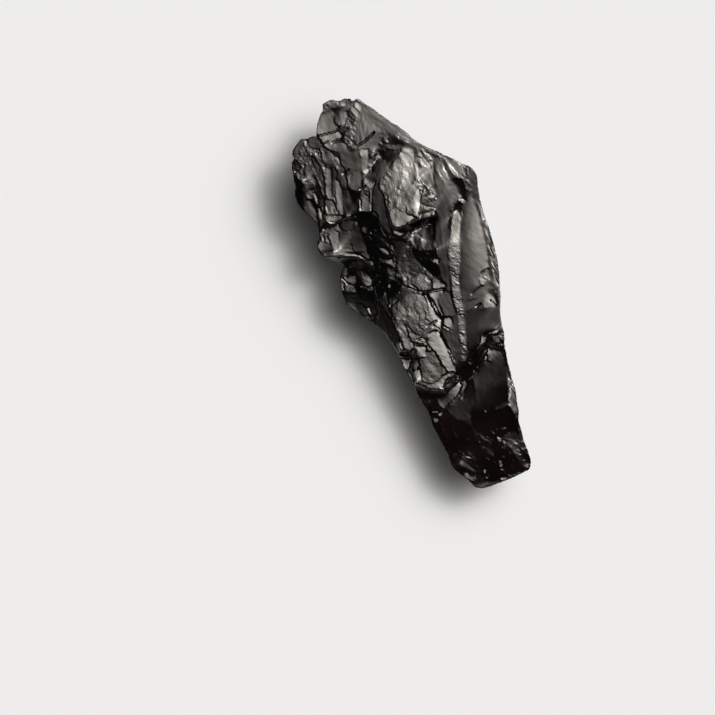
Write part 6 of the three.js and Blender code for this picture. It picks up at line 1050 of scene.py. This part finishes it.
# vertices stand close where the surface bends, and twice as far apart where it doesn't
zl = zfine
bend = np.zeros(zl.shape)
bend[1:-1, 1:-1] = np.hypot(zl[1:-1, 2:] + zl[1:-1, :-2] - 2 * zl[1:-1, 1:-1], zl[2:, 1:-1] + zl[:-2, 1:-1] - 2 * zl[1:-1, 1:-1])
bend = blur(np.minimum(bend, .2), .6)
lp, even = lattice_points(FRONT_STEP, FRONT_STEP * .55, 1e9, True)
bl = sample(bend, lp[:, 0], lp[:, 1])
lp = lp[even | (bl > np.quantile(bl, 1 - FINE))]
far = np.full(len(lp), True)
for pl, w, dp in CR:
    far &= near(lp[:, 0], lp[:, 1], list(pl) + list(pl)[::-1][1:-1]) > w + .4
fp = np.concatenate([ring, cp, lp[far]])
bp = np.concatenate([ring, lattice_points(SIDE_STEP, SIDE_STEP * .5, SIDE_WIDTH), lattice_points(BASE_STEP, SIDE_WIDTH + BASE_STEP * .3, 1e9)])
tf, tb = mesh2d(fp), mesh2d(bp)
zf = sample(zfine, fp[:, 0], fp[:, 1]) - groove(fp[:, 0], fp[:, 1])
zb = back(bp[:, 0], bp[:, 1])
zb[:NR] = np.minimum(zb[:NR], zf[:NR] - 1.0)
print('front', len(tf), 'back', len(tb), 'rim', 2 * NR)
assert len(tf) + len(tb) + 2 * NR < 199000

# three-dimensional noise for the sides and underside
def h3(seed, i, j, k):
    n = (i * 374761393 + j * 668265263 + k * 2147483647 + seed * 1274126177) & 0xffffffff
    n = ((n ^ (n >> 13)) * 1103515245) & 0xffffffff
    n = ((n ^ (n >> 16)) * 2246822519) & 0xffffffff
    return ((n ^ (n >> 15)) & 0xffffff) / float(0x1000000)

def noise3(seed, p, s):
    q = p / s; i = np.floor(q).astype(np.int64); f = q - i; w = f * f * (3 - 2 * f)
    r = 0
    for a in (0, 1):
        for b in (0, 1):
            for c in (0, 1):
                r = r + h3(seed, i[:, 0] + a, i[:, 1] + b, i[:, 2] + c) * (w[:, 0] if a else 1 - w[:, 0]) * (w[:, 1] if b else 1 - w[:, 1]) * (w[:, 2] if c else 1 - w[:, 2])
    return r * 2 - 1

def normals(P, T):
    n = np.cross(P[T[:, 1]] - P[T[:, 0]], P[T[:, 2]] - P[T[:, 0]]); o = np.zeros_like(P)
    for k in range(3): np.add.at(o, T[:, k], n)
    return o / (np.linalg.norm(o, axis=1, keepdims=True) + 1e-12)

B3 = np.column_stack([bp[:, 0], bp[:, 1], zb])
nb = normals(B3, tb)                       # with y down this is the way out of the underside
if nb[:, 2].mean() > 0: nb = -nb
fade = np.clip(near(bp[:, 0], bp[:, 1], RING) / 7.0, 0, 1); fade = fade * fade * (3 - 2 * fade)
rough = .55 * noise3(31, B3, 9.0) + .30 * noise3(32, B3, 4.0) + .16 * noise3(33, B3, 1.9)
ripple = np.zeros(len(B3)); best = np.full(len(B3), 1e9)
for k, (bx, by, bz, br) in enumerate(BOWLS):     # ripples run round the point where each scar was struck
    d = np.abs(np.sqrt((B3[:, 0] - bx) ** 2 + (B3[:, 1] - by) ** 2 + (B3[:, 2] - bz) ** 2) - br)
    c = np.array([SCARS[k][0] + 13 * math.cos(k * 2.4), SCARS[k][1] + 13 * math.sin(k * 2.4), bz + br])
    r = np.linalg.norm(B3 - c, axis=1)
    w = np.exp(-(d / 1.2) ** 2) * (d < best)
    ripple = np.where(d < best, .28 * np.sin(2 * math.pi * r / (3.4 + .12 * r)) * w, ripple); best = np.minimum(best, d)
flat = zb < .5
disp = (rough + ripple) * fade
disp = np.where(flat, -np.abs(disp) * .5, disp)
B3 = B3 + nb * disp[:, None]
B3[:, 2] = np.maximum(B3[:, 2], 0)

P = np.concatenate([np.column_stack([fp, zf]), B3])
nF = len(fp)
T = [tf[:, ::-1], tb + nF]
i = np.arange(NR); j = (i + 1) % NR
T += [np.stack([i, j, nF + i], 1), np.stack([j, nF + j, nF + i], 1)]
T = np.concatenate(T)

# plan units to the stone's own axes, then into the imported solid's box
ca, sa = math.cos(LONG_AXIS), math.sin(LONG_AXIS)
X = np.stack([P[:, 0] * ca - P[:, 1] * sa, -P[:, 0] * sa - P[:, 1] * ca, P[:, 2]], 1) * UNIT_M
OX, OY = (X[:, 0].min() + X[:, 0].max()) / 2, (X[:, 1].min() + X[:, 1].max()) / 2   # where the stone's origin is in the plan
X[:, 0] -= OX; X[:, 1] -= OY
lo, hi = np.array(CAD_LO), np.array(CAD_HI)
SC = np.minimum((hi - lo - 2e-5) / (X.max(0) - X.min(0)), 1.0)
print('fit to box', SC)
X[:, 0] = X[:, 0] * SC[0] + (lo[0] + hi[0]) / 2; X[:, 1] = X[:, 1] * SC[1] + (lo[1] + hi[1]) / 2; X[:, 2] *= SC[2]

me = bpy.data.meshes.new('shungite')
me.from_pydata([tuple(v) for v in X.tolist()], [], [tuple(t) for t in T.tolist()])
me.validate(); me.update()
vol = (np.einsum('ij,ij->i', X[T[:, 0]], np.cross(X[T[:, 1]], X[T[:, 2]])).sum() / 6)
if vol < 0:
    me.flip_normals()
print('volume mm3', abs(vol) * 1e9, 'faces', len(T))
me.polygons.foreach_set('use_smooth', np.ones(len(T), bool))
# how rough each place is, for the finest grain
GR = {'ro': .8, 'cr': .9, 'fl': .8, 'sp': 2.0, 'st': .3, 'gl': .1, 'rib': .3, 'arc': .1}
rough_of = np.array([min(1.0, .08 + sum(GR[q[0]] * (q[1] if q[0] in ('ro', 'cr', 'gl', 'sp') else q[4] if q[0] in ('fl', 'st') else .3) for q in f[2])) for f in F])
kid = np.clip(idn // 1000, 0, len(F) - 1)
grain = np.concatenate([sample(blur(rough_of[kid], .8), fp[:, 0], fp[:, 1]), np.full(len(bp), .35)])
at = me.attributes.new('grain', 'FLOAT', 'POINT'); at.data.foreach_set('value', grain.astype(np.float32))
stone = bpy.data.objects.new('shungite_stone_fine', me)
bpy.context.scene.collection.objects.link(stone)

# ---------- the material
mat = bpy.data.materials.new('noble_shungite'); mat.use_nodes = True
nt = mat.node_tree; nt.nodes.clear()
N = lambda t, **k: (lambda n: ([setattr(n, a, b) for a, b in k.items()], n)[1])(nt.nodes.new(t))
out = N('ShaderNodeOutputMaterial'); bs = N('ShaderNodeBsdfPrincipled')
nt.links.new(bs.outputs[0], out.inputs[0])
tc = N('ShaderNodeTexCoord')
def ns(scale, detail=4.0, rough=.55, dist=0.0):
    n = N('ShaderNodeTexNoise'); n.inputs['Scale'].default_value = scale; n.inputs['Detail'].default_value = detail
    n.inputs['Roughness'].default_value = rough; n.inputs['Distortion'].default_value = dist
    nt.links.new(tc.outputs['Object'], n.inputs['Vector']); return n
def ramp(src, stops):
    r = N('ShaderNodeValToRGB'); nt.links.new(src, r.inputs[0]); e = r.color_ramp.elements
    while len(e) < len(stops): e.new(.5)
    for q, (p, c) in zip(e, stops): q.position = p; q.color = c if len(c) == 4 else (*c, 1)
    return r
# colour: near black, brownest towards the thin end
c1 = ramp(ns(160, 3).outputs['Fac'], [(.3, (.0008, .0008, .0008)), (.52, (.0013, .0012, .0012)), (.72, (.0024, .0021, .0019))])
c2 = ramp(ns(190, 3).outputs['Fac'], [(.3, (.0016, .0011, .0010)), (.52, (.0036, .0019, .0016)), (.72, (.0075, .0034, .0028))])
sx = N('ShaderNodeSeparateXYZ'); nt.links.new(tc.outputs['Object'], sx.inputs[0])
mr = N('ShaderNodeMapRange'); nt.links.new(sx.outputs['X'], mr.inputs['Value']); mr.inputs['From Min'].default_value = .008; mr.inputs['From Max'].default_value = .026
mx = N('ShaderNodeMix', data_type='RGBA'); nt.links.new(mr.outputs[0], mx.inputs['Factor']); nt.links.new(c1.outputs[0], mx.inputs['A']); nt.links.new(c2.outputs[0], mx.inputs['B'])
nt.links.new(mx.outputs['Result'], bs.inputs['Base Color'])
# gloss: glassy, with satin patches
r1 = ramp(ns(220, 4, .6, .4).outputs['Fac'], [(.30, (.08,) * 3), (.55, (.12,) * 3), (.75, (.20,) * 3)])
nt.links.new(r1.outputs[0], bs.inputs['Roughness'])
bs.inputs['IOR'].default_value = 1.6
bs.inputs['Specular Tint'].default_value = (1, .95, .885, 1)
# the finest chips, where the break is rough
ag = N('ShaderNodeAttribute', attribute_name='grain')
hm = N('ShaderNodeMath', operation='MULTIPLY'); nt.links.new(ns(3300, 4, .62).outputs['Fac'], hm.inputs[0]); nt.links.new(ag.outputs['Fac'], hm.inputs[1])
bp1 = N('ShaderNodeBump'); bp1.inputs['Strength'].default_value = .7; bp1.inputs['Distance'].default_value = .00005
nt.links.new(hm.outputs[0], bp1.inputs['Height'])
nt.links.new(bp1.outputs[0], bs.inputs['Normal'])
me.materials.append(mat)

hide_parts('shungite_stone'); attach(stone, 'root')

# ---------- floor, light, camera
bm = bmesh.new(); bmesh.ops.create_grid(bm, x_segments=2, y_segments=2, size=3.0)
fm = bpy.data.meshes.new('floor'); bm.to_mesh(fm); bm.free()
floor = bpy.data.objects.new('floor', fm); bpy.context.scene.collection.objects.link(floor)
floor.location.z = -0.00002
fmat = bpy.data.materials.new('pale_floor'); fmat.use_nodes = True
fb = fmat.node_tree.nodes['Principled BSDF']
fb.inputs['Base Color'].default_value = (.90, .90, .90, 1); fb.inputs['Roughness'].default_value = .9; fb.inputs['Specular IOR Level'].default_value = 0
fm.materials.append(fmat); floor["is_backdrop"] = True

# one big soft light, up to the right of the camera as it looks, its brightness fading away from its middle
w = bpy.data.worlds.new('studio'); bpy.context.scene.world = w; w.use_nodes = True
nt = w.node_tree; nt.nodes.clear()
wo = N('ShaderNodeOutputWorld'); bg = N('ShaderNodeBackground'); bg2 = N('ShaderNodeBackground'); mx = N('ShaderNodeMixShader'); lp = N('ShaderNodeLightPath')
tc = N('ShaderNodeTexCoord')
def M(op, a, b=None):
    n = N('ShaderNodeMath', operation=op)
    for k, q in enumerate((a, b)):
        if q is None: continue
        if isinstance(q, float): n.inputs[k].default_value = q
        else: nt.links.new(q, n.inputs[k])
    return n.outputs[0]
LAMP, GLOW, HOT, CORE, DIM, HAZE = 14.3, math.radians(10), 22.0, math.radians(3.5), .02, .2
el, az = math.radians(24), math.radians(35)
lx, ly = math.sin(el) * math.cos(az), math.sin(el) * math.sin(az)
dt = N('ShaderNodeVectorMath', operation='DOT_PRODUCT'); nt.links.new(tc.outputs['Generated'], dt.inputs[0])
dt.inputs[1].default_value = (lx * ca + ly * sa, -lx * sa + ly * ca, math.cos(el))
ang = M('ARCCOSINE', dt.outputs['Value'])
lamp = M('MULTIPLY', M('EXPONENT', M('MULTIPLY', M('MULTIPLY', ang, ang), -1 / (2 * GLOW * GLOW))), LAMP)
core = M('MULTIPLY', M('EXPONENT', M('MULTIPLY', M('MULTIPLY', ang, ang), -1 / (2 * CORE * CORE))), HOT)   # and its brighter middle
sp = N('ShaderNodeSeparateXYZ'); nt.links.new(tc.outputs['Generated'], sp.inputs[0])
haze = N('ShaderNodeMapRange'); nt.links.new(sp.outputs['Z'], haze.inputs['Value'])
haze.inputs['From Min'].default_value = .5; haze.inputs['From Max'].default_value = 0.0; haze.inputs['To Min'].default_value = DIM; haze.inputs['To Max'].default_value = DIM + HAZE
nt.links.new(M('ADD', M('ADD', lamp, core), haze.outputs[0]), bg.inputs['Strength']); bg.inputs['Color'].default_value = (1, .99, .975, 1)
bg2.inputs['Color'].default_value = (.72, .72, .71, 1); bg2.inputs['Strength'].default_value = 1
nt.links.new(lp.outputs['Is Camera Ray'], mx.inputs[0]); nt.links.new(bg.outputs[0], mx.inputs[1]); nt.links.new(bg2.outputs[0], mx.inputs[2]); nt.links.new(mx.outputs[0], wo.inputs[0])
bpy.context.scene.view_settings.view_transform = 'Standard'
bpy.context.scene.view_settings.look = 'None'

DIST, ZREF = 1.0, 0.0185
cx, cy = 357.5, 357.5       # the middle of the picture, in plan units
PX, PY = (cx * ca - cy * sa) * UNIT_M - OX, (-cx * sa - cy * ca) * UNIT_M - OY
cd = bpy.data.cameras.new('camera'); cam = bpy.data.objects.new('camera', cd); bpy.context.scene.collection.objects.link(cam)
cd.sensor_width = 36; cd.lens = 36 * DIST / (715 * UNIT_M); cd.clip_start = .01; cd.clip_end = 20
cam.location = (PX, PY, ZREF + DIST)
cam.rotation_euler = (0, 0, -LONG_AXIS)
bpy.context.scene.camera = cam
